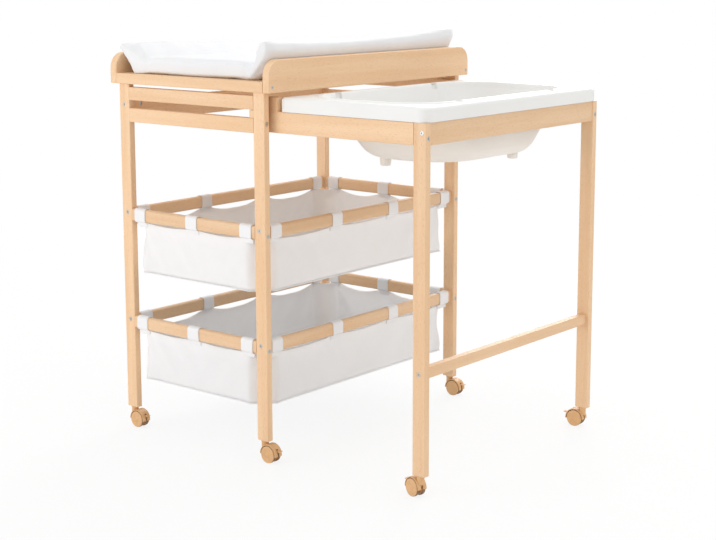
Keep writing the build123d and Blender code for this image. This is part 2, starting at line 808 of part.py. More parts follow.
with BuildPart() as skirt_hollow:
    with BuildSketch(Plane.XY.offset(skirt_bottom)):
        with Locations((flange_x_mid, bath_mid_y)):
            RectangleRounded(
                flange_x_size - 2 * bath_wall,
                2 * (flange_y_half - bath_wall),
                flange_corner - bath_wall,
            )
    extrude(amount=skirt_depth - bath_wall)
    fillet(skirt_hollow.faces().sort_by(Axis.Z)[-1].edges(), radius=flange_edge - bath_wall)
with BuildPart() as bathtub:
    with BuildSketch(Plane.XY.offset(skirt_bottom)):
        with Locations((flange_x_mid, bath_mid_y)):
            RectangleRounded(flange_x_size, 2 * flange_y_half, flange_corner)
    extrude(amount=skirt_depth)
    fillet(bathtub.faces().sort_by(Axis.Z)[-1].edges(), radius=flange_edge)
    add(skirt_hollow.part, mode=Mode.SUBTRACT)
    with BuildSketch(Plane.XY.offset(flange_top)) as bead:
        with Locations((rim_x_mid, bath_mid_y)):
            RectangleRounded(bead_x, bead_y, rim_corner + bead_width)
    extrude(amount=bead_height)
    fillet(bathtub.faces().sort_by(Axis.Z)[-1].edges(), radius=bead_edge)
    with BuildSketch(Plane.XY.offset(flange_under)):
        with Locations((rim_x_mid, bath_mid_y)):
            RectangleRounded(rim_x_size, rim_y_size, rim_corner)
    with BuildSketch(Plane.XY.offset(basin_under)) as floor_outside:
        with Locations((floor_x_mid, floor_y_mid)):
            Rectangle(floor_x_size, floor_y_size)
        fillet(floor_outside.vertices().sort_by(Axis.Y)[:2], radius=basin_corner_near)
        fillet(floor_outside.vertices().sort_by(Axis.Y)[-2:], radius=basin_corner_far)
    loft(ruled=True)
    fillet(bathtub.faces().sort_by(Axis.Z)[0].edges(), radius=basin_foot_fillet)
    with BuildSketch(Plane.XY.offset(basin_under - foot_height)):
        with Locations(*foot_places):
            Circle(foot_radius)
    extrude(amount=foot_height + basin_foot_fillet)
with BuildPart() as basin_hollow:
    with BuildSketch(Plane.XY.offset(flange_top + bead_height)):
        with Locations((rim_x_mid, bath_mid_y)):
            RectangleRounded(
                rim_x_size - 2 * bath_wall,
                rim_y_size - 2 * bath_wall,
                rim_corner - bath_wall,
            )
    with BuildSketch(Plane.XY.offset(basin_under + bath_wall)) as floor_inside:
        with Locations((floor_x_mid, floor_y_mid)):
            Rectangle(floor_x_size - 2 * bath_wall, floor_y_size - 2 * bath_wall)
        fillet(floor_inside.vertices().sort_by(Axis.Y)[:2], radius=basin_corner_near - bath_wall)
        fillet(floor_inside.vertices().sort_by(Axis.Y)[-2:], radius=basin_corner_far - bath_wall)
    loft(ruled=True)
    fillet(basin_hollow.faces().sort_by(Axis.Z)[0].edges(), radius=basin_foot_fillet - bath_wall)
with BuildPart() as bath_shell:
    add(bathtub.part)
    add(basin_hollow.part, mode=Mode.SUBTRACT)
    for x_side in (rim_x_min, rim_x_max):
        for y_side in (bath_mid_y - notch_from_middle, bath_mid_y + notch_from_middle):
            with Locations((x_side, y_side, flange_top + bead_height / 2)):
                Box(4 * bead_width, notch_width, bead_height, mode=Mode.SUBTRACT)
    drill_z([(floor_x_mid, drain_y, basin_under)], drain_radius, 3 * bath_wall)
save(bath_shell.part, "bathtub")

# Drain plug with its pull ring, seated in the basin floor
basin_floor_top = basin_under + bath_wall
ring_level = basin_floor_top + plug_gap + plug_head_height + plug_boss_height + plug_ring_radius
plug_bottom = basin_floor_top - plug_stem_height
with BuildPart() as drain_plug:
    with BuildSketch(Plane.XY.offset(plug_bottom)):
        with Locations((floor_x_mid, drain_y)):
            Circle(drain_radius - plug_gap)
    extrude(amount=plug_stem_height + plug_gap + plug_head_height)
    with BuildSketch(Plane.XY.offset(basin_floor_top + plug_gap)):
        with Locations((floor_x_mid, drain_y)):
            Circle(plug_head_radius)
    extrude(amount=plug_head_height)
    with BuildSketch(Plane.XY.offset(basin_floor_top + plug_gap)):
        with Locations((floor_x_mid, drain_y)):
            Circle(plug_boss_radius)
    extrude(amount=plug_head_height + plug_boss_height)
    with Locations((floor_x_mid, drain_y, ring_level)):
        Torus(plug_ring_radius, plug_ring_wire, rotation=(90, 0, 0))
save(drain_plug.part, "drain_plug")


# Bolts with a flat socket head, their barrel nuts, dowels and screws
def bolt_at(x, y, z, turn):
    # One bolt whose head's outer face is at the sink's floor plus its height
    with Locations(Location((x, y, z), turn)):
        with Locations((0, 0, bolt_sink - bolt_head_height / 2)):
            Cylinder(bolt_head_radius, bolt_head_height)
        with Locations((0, 0, bolt_sink + (bolt_length - bolt_sink) / 2)):
            Cylinder(bolt_radius, bolt_length - bolt_sink)
        with Locations((0, 0, bolt_sink - bolt_head_height + bolt_key_depth / 2)):
            Cylinder(bolt_key_radius, bolt_key_depth, mode=Mode.SUBTRACT)


def make_bolts(bolts_x, bolts_y):
    with BuildPart() as bolts:
        for x, y, z, way in bolts_x:
            bolt_at(x, y, z, (0, 90 * way, 0))
        for x, y, z, way in bolts_y:
            bolt_at(x, y, z, (-90 * way, 0, 0))
    return bolts.part


def make_nuts(bolts_x, cover_x, bolts_y, cover_y):
    # Cross nuts: the body lies square to the bolt and level, the bore takes the bolt
    with BuildPart() as nuts:
        for x, y, z, way in bolts_x:
            x_nut = x + way * (cover_x + nut_from_joint)
            with Locations((x_nut, y, z)):
                Cylinder(nut_radius, nut_length, rotation=(90, 0, 0))
            drill_x([(x_nut, y, z)], bolt_radius + nut_bore_gap, 3 * nut_radius)
        for x, y, z, way in bolts_y:
            y_nut = y + way * (cover_y + nut_from_joint)
            with Locations((x, y_nut, z)):
                Cylinder(nut_radius, nut_length, rotation=(0, 90, 0))
            drill_y([(x, y_nut, z)], bolt_radius + nut_bore_gap, 3 * nut_radius)
    return nuts.part


save(make_bolts(table_bolts_x, table_bolts_y), "table_bolts")
save(make_bolts(carriage_bolts_x, carriage_bolts_y), "carriage_bolts")
nut_args = (table_bolts_x, post_width, table_bolts_y, post_thickness)
save(make_nuts(*nut_args), "table_barrel_nuts")
nut_args = (carriage_bolts_x, post_width, carriage_bolts_y, post_thickness)
save(make_nuts(*nut_args), "carriage_barrel_nuts")

with BuildPart() as table_dowels:
    for x, y, z, way in table_dowels_x:
        with Locations((x + way * (dowel_in_rail - dowel_in_post) / 2, y, z)):
            Cylinder(dowel_radius, dowel_length, rotation=(0, 90, 0))
    for x, y, z in tray_dowels:
        with Locations((x, y, z + (tray_dowel_in_rail - tray_dowel_in_post) / 2)):
            Cylinder(dowel_radius, tray_dowel_in_rail + tray_dowel_in_post)
save(table_dowels.part, "table_dowels")

with BuildPart() as carriage_dowels:
    for x, y, z, way in tub_dowels_y + runner_dowels_y:
        with Locations((x, y + way * (dowel_in_rail - dowel_in_post) / 2, z)):
            Cylinder(dowel_radius, dowel_length, rotation=(90, 0, 0))
save(carriage_dowels.part, "carriage_dowels")

with BuildPart() as tray_screws:
    for x_outer, way in ((tray_x_min, 1), (tray_x_max, -1)):
        for y_row in tray_screw_rows:
            x_head = x_outer + way * screw_sink / 2
            with Locations((x_head, y_row, screw_level)):
                Cylinder(screw_head_radius, screw_sink, rotation=(0, 90, 0))
            with Locations((x_outer + way * screw_length / 2, y_row, screw_level)):
                Cylinder(screw_radius, screw_length, rotation=(0, 90, 0))
            drill_x([(x_outer, y_row, screw_level)], bolt_key_radius, bolt_key_depth)
save(tray_screws.part, "tray_screws")

# Casters, drawn about their swivel axis with the wheels trailing towards +X
axle_level = wheel_radius
hood_inner = wheel_radius + hood_gap
hood_outer = hood_inner + hood_wall
wheel_inner = web_half + wheel_side_gap
wheel_outer = wheel_inner + wheel_thickness
neck_top = caster_height - swivel_gap
lever_x = trail + lever_pivot_out
lever_z = axle_level + lever_pivot_up
slot_half = lever_half + lever_slot_gap
slot_top = lever_z + lever_hub_radius + lever_slot_gap
slot_bottom = lever_z - lever_hub_radius - lever_slot_gap
slot_x = lever_x - lever_hub_radius - lever_slot_gap
slot_length = trail + hood_outer + cut_over - slot_x

with BuildPart() as caster_housing:
    with Locations((trail, 0, axle_level)):
        Cylinder(hood_outer, 2 * hood_half, rotation=(90, 0, 0))
    with Locations((0, 0, (neck_bottom + neck_top) / 2)):
        Cylinder(neck_radius, neck_top - neck_bottom)
    for side in (-1, 1):
        y_room = side * (web_half + hood_half + cut_over) / 2
        with Locations((trail, y_room + side * web_half / 2, axle_level)):
            Cylinder(
                hood_inner,
                hood_half + cut_over,
                rotation=(90, 0, 0),
                mode=Mode.SUBTRACT,
            )
    with Locations((trail, 0, hood_bottom / 2 - cut_over)):
        Box(3 * hood_outer, 3 * hood_half, hood_bottom + 2 * cut_over, mode=Mode.SUBTRACT)
    with Locations((trail, 0, axle_level)):
        Cylinder(hub_radius, 2 * web_half, rotation=(90, 0, 0))
    drill_y([(trail, 0, axle_level)], pin_radius + pin_gap, 4 * web_half)
    with Locations((slot_x + slot_length / 2, 0, (slot_top + slot_bottom) / 2)):
        Box(slot_length, 2 * slot_half, slot_top - slot_bottom, mode=Mode.SUBTRACT)
    with Locations((slot_x + slot_length, 0, slot_bottom - lever_travel_room / 2)):
        Box(slot_length, 2 * slot_half, lever_travel_room + cut_over, mode=Mode.SUBTRACT)
    pin_span = 2 * (web_half - lever_pin_cover)
    drill_y([(lever_x, 0, lever_z)], lever_pin_radius + lever_pin_gap, 4 * web_half)
    with Locations((0, 0, neck_top + stem_length / 2)):
        Cylinder(stem_radius, stem_length + swivel_gap)

with BuildPart() as caster_wheels:
    for side in (-1, 1):
        with BuildSketch(Plane.XY):
            with BuildLine():
                Polyline(
                    (pin_radius, side * wheel_inner),
                    (wheel_radius, side * wheel_inner),
                    (wheel_radius, side * (wheel_outer - wheel_edge)),
                    (wheel_radius - wheel_edge, side * wheel_outer),
                    (wheel_dish_radius, side * wheel_outer),
                    (wheel_dish_radius - wheel_dish_depth, side * (wheel_outer - wheel_dish_depth)),
                    (0, side * (wheel_outer - wheel_dish_depth)),
                    (0, side * (wheel_outer - 2 * wheel_edge)),
                    (pin_radius, side * (wheel_outer - 2 * wheel_edge)),
                    close=True,
                )
            make_face()
        revolve(axis=Axis.Y)
    pin_length = 2 * (wheel_outer - 2 * wheel_edge - pin_end_gap)
    Cylinder(pin_radius - pin_gap, pin_length, rotation=(90, 0, 0))

lever_tip_x = lever_reach
with BuildPart() as brake_lever:
    Cylinder(lever_hub_radius, 2 * lever_half, rotation=(90, 0, 0))
    Cylinder(lever_pin_radius, pin_span, rotation=(90, 0, 0))
    with Locations((lever_tip_x / 2, 0, 0)):
        Box(lever_tip_x, 2 * lever_half, lever_thickness)
    with Locations((lever_tip_x - lever_tip_length / 2, 0, 0)):
        Box(lever_tip_length, 2 * lever_tip_half, lever_thickness)
    tip_edges = brake_lever.edges().filter_by(Axis.Z).group_by(Axis.X)[-1]
    fillet(tip_edges, radius=lever_thickness / 2)

casters = (
    ("front_left", x_left_post, y_front_post, table_caster_angle),
    ("front_right", x_right_post, y_front_post, table_caster_angle),
    ("back_left", x_left_post, y_back_post, table_caster_angle),
    ("back_right", x_right_post, y_back_post, table_caster_angle),
    ("tub_front", x_leg, y_tub_front_mid, tub_front_caster_angle),
    ("tub_back", x_leg, y_tub_back_mid, tub_back_caster_angle),
)
for name, x, y, angle in casters:
    ahead = (cos(radians(angle)), sin(radians(angle)))
    with BuildPart() as housing:
        with Locations(Location((x, y, 0), (0, 0, angle))):
            add(caster_housing.part)
    save(housing.part, "caster_housing_" + name)
    with BuildPart() as wheels:
        axle = (x + trail * ahead[0], y + trail * ahead[1], axle_level)
        with Locations(Location(axle, (0, 0, angle))):
            add(caster_wheels.part)
    save(wheels.part, "caster_wheels_" + name)
    with BuildPart() as lever:
        pivot = (x + lever_x * ahead[0], y + lever_x * ahead[1], lever_z)
        with Locations(Location(pivot, (0, 0, angle))):
            add(brake_lever.part)
    save(lever.part, "caster_brake_" + name)
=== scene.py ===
import json
from math import atan2, copysign, cos, exp, hypot, pi, radians, sin, sqrt
import bpy
import bmesh
from mathutils import Matrix, Vector, noise
from mathutils.bvhtree import BVHTree


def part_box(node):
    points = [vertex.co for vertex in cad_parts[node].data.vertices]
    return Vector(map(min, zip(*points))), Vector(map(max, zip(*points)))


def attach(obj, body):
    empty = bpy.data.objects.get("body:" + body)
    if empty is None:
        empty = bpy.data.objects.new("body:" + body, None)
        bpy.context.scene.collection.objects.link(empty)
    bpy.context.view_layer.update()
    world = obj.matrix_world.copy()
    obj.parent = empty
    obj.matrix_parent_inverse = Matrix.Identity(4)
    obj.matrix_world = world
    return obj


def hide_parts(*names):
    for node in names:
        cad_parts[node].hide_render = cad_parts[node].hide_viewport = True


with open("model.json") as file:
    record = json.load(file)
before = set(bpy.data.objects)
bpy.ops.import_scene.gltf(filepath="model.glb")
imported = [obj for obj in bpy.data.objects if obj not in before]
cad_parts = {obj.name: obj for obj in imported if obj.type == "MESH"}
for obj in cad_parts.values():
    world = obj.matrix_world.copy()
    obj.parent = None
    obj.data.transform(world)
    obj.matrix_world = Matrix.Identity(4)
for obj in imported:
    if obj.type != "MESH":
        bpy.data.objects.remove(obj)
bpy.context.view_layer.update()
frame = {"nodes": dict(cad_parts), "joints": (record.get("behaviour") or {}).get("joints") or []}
nodes = frame["nodes"]
scene = bpy.context.scene
ops = bmesh.ops
print("frame loaded:", len(nodes), "nodes")

cameraFacts = {
    "place": (2.43486, -2.95172, 1.1795), "turn": 39.5241, "down": 9.354, "roll": -0.142,
    "lens": 76.099, "shiftY": -0.075, "sensor": 36.0, "clip": (0.1, 100.0),
}
lightFacts = {
    # name: place, aim, size, watts, colour
    "key": ((-1.9, -4.1, 1.6), (0.0, 0.0, 0.55), 2.6, 58.0, (1.0, 0.99, 0.985)),
    "side": ((3.9, -0.4, 2.0), (0.1, 0.0, 0.5), 2.4, 17.0, (1.0, 0.95, 0.88)),
    "top": ((0.4, 0.6, 3.8), (0.0, 0.0, 0.7), 2.8, 27.0, (1.0, 1.0, 1.0)),
    "back": ((-1.2, 3.8, 2.4), (0.0, 0.0, 0.6), 2.4, 78.0, (1.0, 1.0, 1.0)),
}
stageFacts = {
    "floorRadius": 9.0, "floorSides": 64, "floorColour": (0.9, 0.9, 0.9, 1),
    "white": (1, 1, 1, 1), "worldStrength": 0.72,
    # the floor turns plain white between these distances, from this share on
    "fadeFrom": 0.9, "fadeTo": 3.4, "fadeLeast": 0.84,
}


def addNode(tree, kind, sockets=None, **values):
    # Each socket gets a value, or a link where the value is another node's output
    node = tree.nodes.new("ShaderNode" + kind)
    for key, value in values.items():
        setattr(node, key, value)
    for label, value in (sockets or {}).items():
        if hasattr(value, "is_output"):
            tree.links.new(value, node.inputs[label])
        elif value is not None:
            node.inputs[label].default_value = value
    return node


def mathNode(tree, operation, first, second=None, clamp=False):
    sockets = {0: first, 1: second}
    return addNode(tree, "Math", sockets, operation=operation, use_clamp=clamp).outputs[0]


def times(tree, first, second):
    return mathNode(tree, "MULTIPLY", first, second)


def vectorNode(tree, operation, sockets):
    return addNode(tree, "VectorMath", sockets, operation=operation).outputs


def noiseNode(tree, vector, scale, detail, rough=0.5):
    sockets = {"Scale": scale, "Detail": detail, "Roughness": rough, "Vector": vector}
    return addNode(tree, "TexNoise", sockets).outputs["Fac"]


def rangeNode(tree, value, low, high, toLow=0.0, toHigh=1.0, kind="SMOOTHSTEP"):
    sockets = {"Value": value, "From Min": low, "From Max": high, "To Min": toLow, "To Max": toHigh}
    return addNode(tree, "MapRange", sockets, interpolation_type=kind).outputs["Result"]


def mixColour(tree, factor, first, second):
    return addNode(tree, "Mix", {0: factor, 6: first, 7: second}, data_type="RGBA").outputs[2]


def mixShader(tree, factor, first, second):
    sockets = {0: factor, 1: first.outputs[0], 2: second.outputs[0]}
    return addNode(tree, "MixShader", sockets).outputs[0]


def newObject(name, data):
    obj = bpy.data.objects.new(name, data)
    scene.collection.objects.link(obj)
    return obj


def shade(mesh, smooth=True):
    for face in mesh.polygons:
        face.use_smooth = smooth


def addObject(name, bm, smooth=True):
    mesh = bpy.data.meshes.new(name)
    bm.to_mesh(mesh)
    bm.free()
    shade(mesh, smooth)
    return newObject(name, mesh)


def tie(obj, body, node=None, materials=()):
    for material in materials:
        obj.data.materials.append(material)
    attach(obj, body)
    if node:
        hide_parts(node)


def addBox(bm, size, centre):
    verts = ops.create_cube(bm, size=1.0)["verts"]
    ops.scale(bm, vec=size, verts=verts)
    ops.translate(bm, vec=centre, verts=verts)
    return verts


def turnAndMove(bm, turn, place):
    ops.rotate(bm, cent=(0, 0, 0), matrix=turn, verts=bm.verts)
    ops.translate(bm, vec=place, verts=bm.verts)


def addPart(whole, part):
    # Takes one bmesh over into another
    mesh = bpy.data.meshes.new("part")
    part.to_mesh(mesh)
    part.free()
    whole.from_mesh(mesh)
    bpy.data.meshes.remove(mesh)


def addModifier(obj, name, kind, **values):
    modifier = obj.modifiers.new(name, kind)
    for key, value in values.items():
        setattr(modifier, key, value)
    return modifier


def applyModifiers(obj):
    depsgraph = bpy.context.evaluated_depsgraph_get()
    depsgraph.update()
    mesh = bpy.data.meshes.new_from_object(obj.evaluated_get(depsgraph))
    old = obj.data
    obj.modifiers.clear()
    obj.data = mesh
    bpy.data.meshes.remove(old)


def runCloth(obj, values, gravity, frames, maxMove):
    # Runs the cloth to its last frame, applies it and caps how far each point has moved
    start = [v.co.copy() for v in obj.data.vertices]
    cloth = obj.modifiers.new("cloth", "CLOTH")
    for key, value in values.items():
        setattr(cloth.settings, key, value)
    cloth.settings.effector_weights.gravity = gravity
    cloth.point_cache.frame_end = frames
    for step in range(1, frames + 1):
        scene.frame_set(step)
    applyModifiers(obj)
    scene.frame_set(1)
    for v, was in zip(obj.data.vertices, start):
        move = v.co - was
        if move.length > maxMove:
            v.co = was + move.normalized() * maxMove


def bevel(bm, geom, offset, segments, affect="EDGES"):
    ops.bevel(bm, geom=geom, offset=offset, offset_type="OFFSET", segments=segments, profile=0.5,
              affect=affect, material=-1)


def bridge(bm, loops):
    for first, second in zip(loops, loops[1:]):
        ops.bridge_loops(bm, edges=first + second)


def turnOut(bm):
    ops.recalc_face_normals(bm, faces=bm.faces)


def edgesOf(verts):
    return list({e for v in verts for e in v.link_edges})


def everything(bm):
    return bm.verts[:] + bm.edges[:] + bm.faces[:]


def noiseAt(place, scale=(1, 1, 1)):
    return noise.noise(Vector([value * share for value, share in zip(place, scale)]))


def makeCamera():
    f = cameraFacts
    data = bpy.data.cameras.new("camera")
    scene.camera = newObject("camera", data)
    turn = Matrix.Rotation(radians(f["turn"]), 4, "Z")
    tilt = Matrix.Rotation(radians(90 - f["down"]), 4, "X")
    roll = Matrix.Rotation(radians(f["roll"]), 4, "Z")
    scene.camera.matrix_world = Matrix.Translation(f["place"]) @ turn @ tilt @ roll
    data.lens = f["lens"]
    data.sensor_width = f["sensor"]
    data.shift_y = f["shiftY"]
    data.clip_start, data.clip_end = f["clip"]


def makeLights():
    for name, (place, aim, size, watts, colour) in lightFacts.items():
        data = bpy.data.lights.new(name, "AREA")
        data.shape = "SQUARE"
        data.size = size
        data.energy = watts
        data.color = colour
        lamp = newObject(name, data)
        lamp.location = place
        lamp.rotation_euler = (Vector(aim) - Vector(place)).to_track_quat("-Z", "Y").to_euler()


def cameraRays(tree):
    # 1 for rays that should see the plain white surround
    path = addNode(tree, "LightPath")
    direct = mathNode(tree, "MAXIMUM", path.outputs["Is Camera Ray"], path.outputs["Is Glossy Ray"])
    return mathNode(tree, "MAXIMUM", direct, path.outputs["Is Transmission Ray"])


def makeWorld():
    world = bpy.data.worlds.new("studio")
    world.use_nodes = True
    tree = world.node_tree
    tree.nodes.clear()
    room, plain = (addNode(tree, "Background", {"Color": stageFacts["white"], "Strength": strength})
                   for strength in (stageFacts["worldStrength"], 1.0))
    addNode(tree, "OutputWorld", {"Surface": mixShader(tree, cameraRays(tree), room, plain)})
    scene.world = world


def makeFloor():
    f = stageFacts
    bm = bmesh.new()
    ops.create_circle(bm, cap_ends=True, radius=f["floorRadius"], segments=f["floorSides"])
    floor = addObject("floor", bm, smooth=False)
    mat = bpy.data.materials.new("paleFloor")
    mat.use_nodes = True
    tree = mat.node_tree
    tree.nodes.clear()
    place = addNode(tree, "TexCoord")
    reach = vectorNode(tree, "LENGTH", {0: place.outputs["Object"]})["Value"]
    fade = rangeNode(tree, reach, f["fadeFrom"], f["fadeTo"], f["fadeLeast"], kind="LINEAR")
    seen = times(tree, fade, cameraRays(tree))
    paint = addNode(tree, "BsdfDiffuse", {"Color": f["floorColour"]})
    plain = addNode(tree, "Emission")
    addNode(tree, "OutputMaterial", {"Surface": mixShader(tree, seen, paint, plain)})
    floor.data.materials.append(mat)


makeCamera()
makeLights()
makeWorld()
makeFloor()
scene.view_settings.view_transform = "Standard"
print("camera, light and floor made")

# The part of a noise's values over which a mask runs from 0 to 1
noiseSpan = (0.3, 0.7)
beechFacts = {
    "stretch": (0.055, 1.0, 1.0), "warpScale": 3.2, "warp": 0.012, "figureScale": 34.0,
    "figureShare": 0.62, "fibreScale": 420.0, "fibreShare": 0.38, "dash": (0.13, 1.0, 1.0),
    "dashScale": 950.0, "dashSpan": (0.60, 0.72), "roughness": (0.40, 0.52),
}
weaveFacts = {
    "fullTurn": 6.2832, "wobbleScale": 60.0, "wobble": 1.6, "cloudScale": 9.0,
}


def newGroup(name, colours, numbers, outputs):
    # Takes a vector, colours and numbers, with their first values
    group = bpy.data.node_groups.new(name, "ShaderNodeTree")
    group.interface.new_socket(name="Vector", in_out="INPUT", socket_type="NodeSocketVector")
    for kind, values in (("NodeSocketColor", colours), ("NodeSocketFloat", numbers)):
        for label, value in values.items():
            group.interface.new_socket(name=label, in_out="INPUT", socket_type=kind).default_value = value
    for label in outputs:
        kind = "NodeSocketColor" if label == "Color" else "NodeSocketFloat"
        group.interface.new_socket(name=label, in_out="OUTPUT", socket_type=kind)
    return group, group.nodes.new("NodeGroupInput").outputs


def endGroup(group, sockets):
    out = group.nodes.new("NodeGroupOutput")
    for label, value in sockets.items():
        group.links.new(value, out.inputs[label])


def makeBeechGroup():
    # Grain runs along the vector's X; Vector is in metres
    f = beechFacts
    colours = {"Pale": (0.8, 0.6, 0.4, 1), "Deep": (0.6, 0.4, 0.25, 1), "Fleck": (0.4, 0.22, 0.12, 1)}
    outputs = ("Color", "Roughness", "Height")
    group, given = newGroup("beechGrain", colours, {"Fleck Amount": 0.4}, outputs)
    long = vectorNode(group, "MULTIPLY", {0: given["Vector"], 1: f["stretch"]})[0]
    warp = noiseNode(group, given["Vector"], f["warpScale"], 2.0)
    sideways = addNode(group, "CombineXYZ", {"Y": warp, "Z": warp}).outputs[0]
    bend = vectorNode(group, "SCALE", {0: sideways, "Scale": f["warp"]})[0]
    moved = vectorNode(group, "ADD", {0: long, 1: bend})[0]
    figure = noiseNode(group, moved, f["figureScale"], 3.0, 0.55)
    fibre = noiseNode(group, moved, f["fibreScale"], 3.0, 0.6)
    dash = vectorNode(group, "MULTIPLY", {0: given["Vector"], 1: f["dash"]})[0]
    flecks = rangeNode(group, noiseNode(group, dash, f["dashScale"], 1.0, 0.4), *f["dashSpan"])
    broad = times(group, rangeNode(group, figure, *noiseSpan), f["figureShare"])
    fine = times(group, fibre, f["fibreShare"])
    ground = mixColour(group, mathNode(group, "ADD", broad, fine, clamp=True), given["Pale"], given["Deep"])
    amount = times(group, flecks, given["Fleck Amount"])
    rise, fall = (times(group, height, 0.5) for height in (fibre, flecks))
    endGroup(group, {
        "Color": mixColour(group, amount, ground, given["Fleck"]),
        "Roughness": rangeNode(group, fibre, *noiseSpan, *f["roughness"]),
        "Height": mathNode(group, "SUBTRACT", rise, fall),
    })
    return group


def makeWeaveGroup():
    # A plain weave over two directions of the vector, with uneven threads
    f = weaveFacts
    group, given = newGroup("plainWeave", {}, {"Threads": 900.0}, ("Height", "Shade"))
    apart = addNode(group, "SeparateXYZ", {0: given["Vector"]})
    wobble = times(group, noiseNode(group, given["Vector"], f["wobbleScale"], 2.0), f["wobble"])
    waves = []
    for axis in "XY":
        threads = times(group, apart.outputs[axis], given["Threads"])
        turns = mathNode(group, "ADD", threads, wobble)
        waves.append(mathNode(group, "SINE", times(group, turns, f["fullTurn"])))
    cloud = noiseNode(group, given["Vector"], f["cloudScale"], 4.0, 0.6)
    endGroup(group, {
        "Height": rangeNode(group, times(group, *waves), -1.0, 1.0, kind="LINEAR"),
        "Shade": rangeNode(group, cloud, *noiseSpan),
    })
    return group


def makeCloudGroup():
    # Slow unevenness and a very fine skin, for moulded and coated surfaces
    group, given = newGroup("softUneven", {}, {"Broad": 8.0, "Fine": 900.0}, ("Mask", "Height"))
    endGroup(group, {
        out: rangeNode(group, noiseNode(group, given["Vector"], given[label], detail), *noiseSpan)
        for label, detail, out in (("Broad", 3.0, "Mask"), ("Fine", 2.0, "Height"))
    })
    return group


beechGrain = makeBeechGroup()
plainWeave = makeWeaveGroup()
softUneven = makeCloudGroup()
print("shared effects made")


def startMaterial(name, colour, roughness, **sockets):
    mat = bpy.data.materials.new(name)
    mat.use_nodes = True
    shader = mat.node_tree.nodes["Principled BSDF"]
    shader.inputs["Base Color"].default_value = (*colour, 1)
    shader.inputs["Roughness"].default_value = roughness
    for label, value in sockets.items():
        shader.inputs[label.replace("_", " ")].default_value = value
    return mat, mat.node_tree, shader


def placeGroup(tree, group, coords="Object", turn=(0, 0, 0), shift=(0, 0, 0), **values):
    source = addNode(tree, "TexCoord").outputs[coords]
    mapping = addNode(tree, "Mapping", {"Rotation": turn, "Location": shift, "Vector": source})
    sockets = {label.replace("_", " "): value for label, value in values.items()}
    sockets["Vector"] = mapping.outputs[0]
    return addNode(tree, "Group", sockets, node_tree=group).outputs


def finishShader(tree, shader, links, height, distance):
    bump = addNode(tree, "Bump", {"Distance": distance, "Strength": 1.0, "Height": height})
    for label, value in {**links, "Normal": bump.outputs[0]}.items():
        tree.links.new(value, shader.inputs[label])


woodFacts = {
    "base": (0.8, 0.6, 0.4), "pale": (0.895, 0.635, 0.405), "deep": (0.80, 0.51, 0.285),
    "fleck": (0.55, 0.30, 0.150), "fleckAmount": 0.34, "roughness": 0.45, "specular": 0.42,
    "bump": 0.00012,
    # each board's grain starts elsewhere, and its tone differs a little
    "shift": (0.61, 0.37, 0.23), "tone": (0.97, 0.05), "toneSeed": (1.7, 0.3, 0.9),
}
# Below and above a skin's roughness
glossSpan = (0.04, 0.05)
# How a vector turns so that the grain lies on the piece's long axis
grainTurns = {"x": (0, 0, 0), "y": (0, 0, -pi / 2), "z": (0, pi / 2, 0)}


def makeBeech(name, along, order, tone):
    f = woodFacts
    mat, tree, shader = startMaterial("beech_" + name, f["base"], f["roughness"],
                                      Specular_IOR_Level=f["specular"])
    pale, deep, fleck = (tuple(c * tone for c in f[kind]) + (1,) for kind in ("pale", "deep", "fleck"))
    grain = placeGroup(tree, beechGrain, turn=grainTurns[along], shift=tuple(s * order for s in f["shift"]),
                       Pale=pale, Deep=deep, Fleck=fleck, Fleck_Amount=f["fleckAmount"])
    links = {"Base Color": grain["Color"], "Roughness": grain["Roughness"]}
    finishShader(tree, shader, links, grain["Height"], f["bump"])
    return mat


def makeSkin(name, colour, second, roughness, broad, fine, bump, **sockets):
    # A moulded or coated surface whose colour and gloss vary a little
    mat, tree, shader = startMaterial(name, colour, roughness, **sockets)
    uneven = placeGroup(tree, softUneven, Broad=broad, Fine=fine)
    tone = mixColour(tree, uneven["Mask"], (*colour, 1), (*second, 1))
    gloss = rangeNode(tree, uneven["Mask"], 0.0, 1.0, roughness - glossSpan[0], roughness + glossSpan[1])
    finishShader(tree, shader, {"Base Color": tone, "Roughness": gloss}, uneven["Height"], bump)
    return mat


def makeCloth(name, colour, second, threads, bump, roughness=0.85, coords="UV", **sockets):
    mat, tree, shader = startMaterial(name, colour, roughness, **sockets)
    weave = placeGroup(tree, plainWeave, coords=coords, Threads=threads)
    tone = mixColour(tree, weave["Shade"], (*colour, 1), (*second, 1))
    finishShader(tree, shader, {"Base Color": tone}, weave["Height"], bump)
    return mat


bathWhite = makeSkin("bathWhite", (0.86, 0.86, 0.845), (0.84, 0.84, 0.825), 0.42, 5.0, 700.0, 0.00002,
                     Specular_IOR_Level=0.35)
# Painted light: a warmer white for the bath's underside and feet, standing in for shade and light bounced from
# the wood and floor
bathUnder = makeSkin("bathUnder", (0.88, 0.835, 0.775), (0.85, 0.80, 0.735), 0.42, 5.0, 700.0, 0.00002)
plugWhite = makeSkin("plugWhite", (0.80, 0.80, 0.78), (0.76, 0.76, 0.74), 0.5, 60.0, 1500.0, 0.00003)
zinc = makeSkin("zincSteel", (0.62, 0.61, 0.58), (0.50, 0.49, 0.47), 0.34, 300.0, 2500.0, 0.00003,
                Metallic=1.0)
casterPlastic = makeSkin("casterPlastic", (0.76, 0.455, 0.215), (0.70, 0.41, 0.19), 0.40, 90.0, 2200.0,
                         0.00003)
# Painted shade: the wheels are one plastic, and this dark brown on their tread stands in for the shadow under
# the hood
casterTread = makeSkin("casterTread", (0.30, 0.18, 0.095), (0.24, 0.145, 0.08), 0.6, 120.0, 1800.0, 0.00006)
matCover = makeCloth("matCover", (0.835, 0.84, 0.85), (0.81, 0.815, 0.83), 900.0, 0.00006, 0.55,
                     coords="Object", Sheen_Weight=0.1)
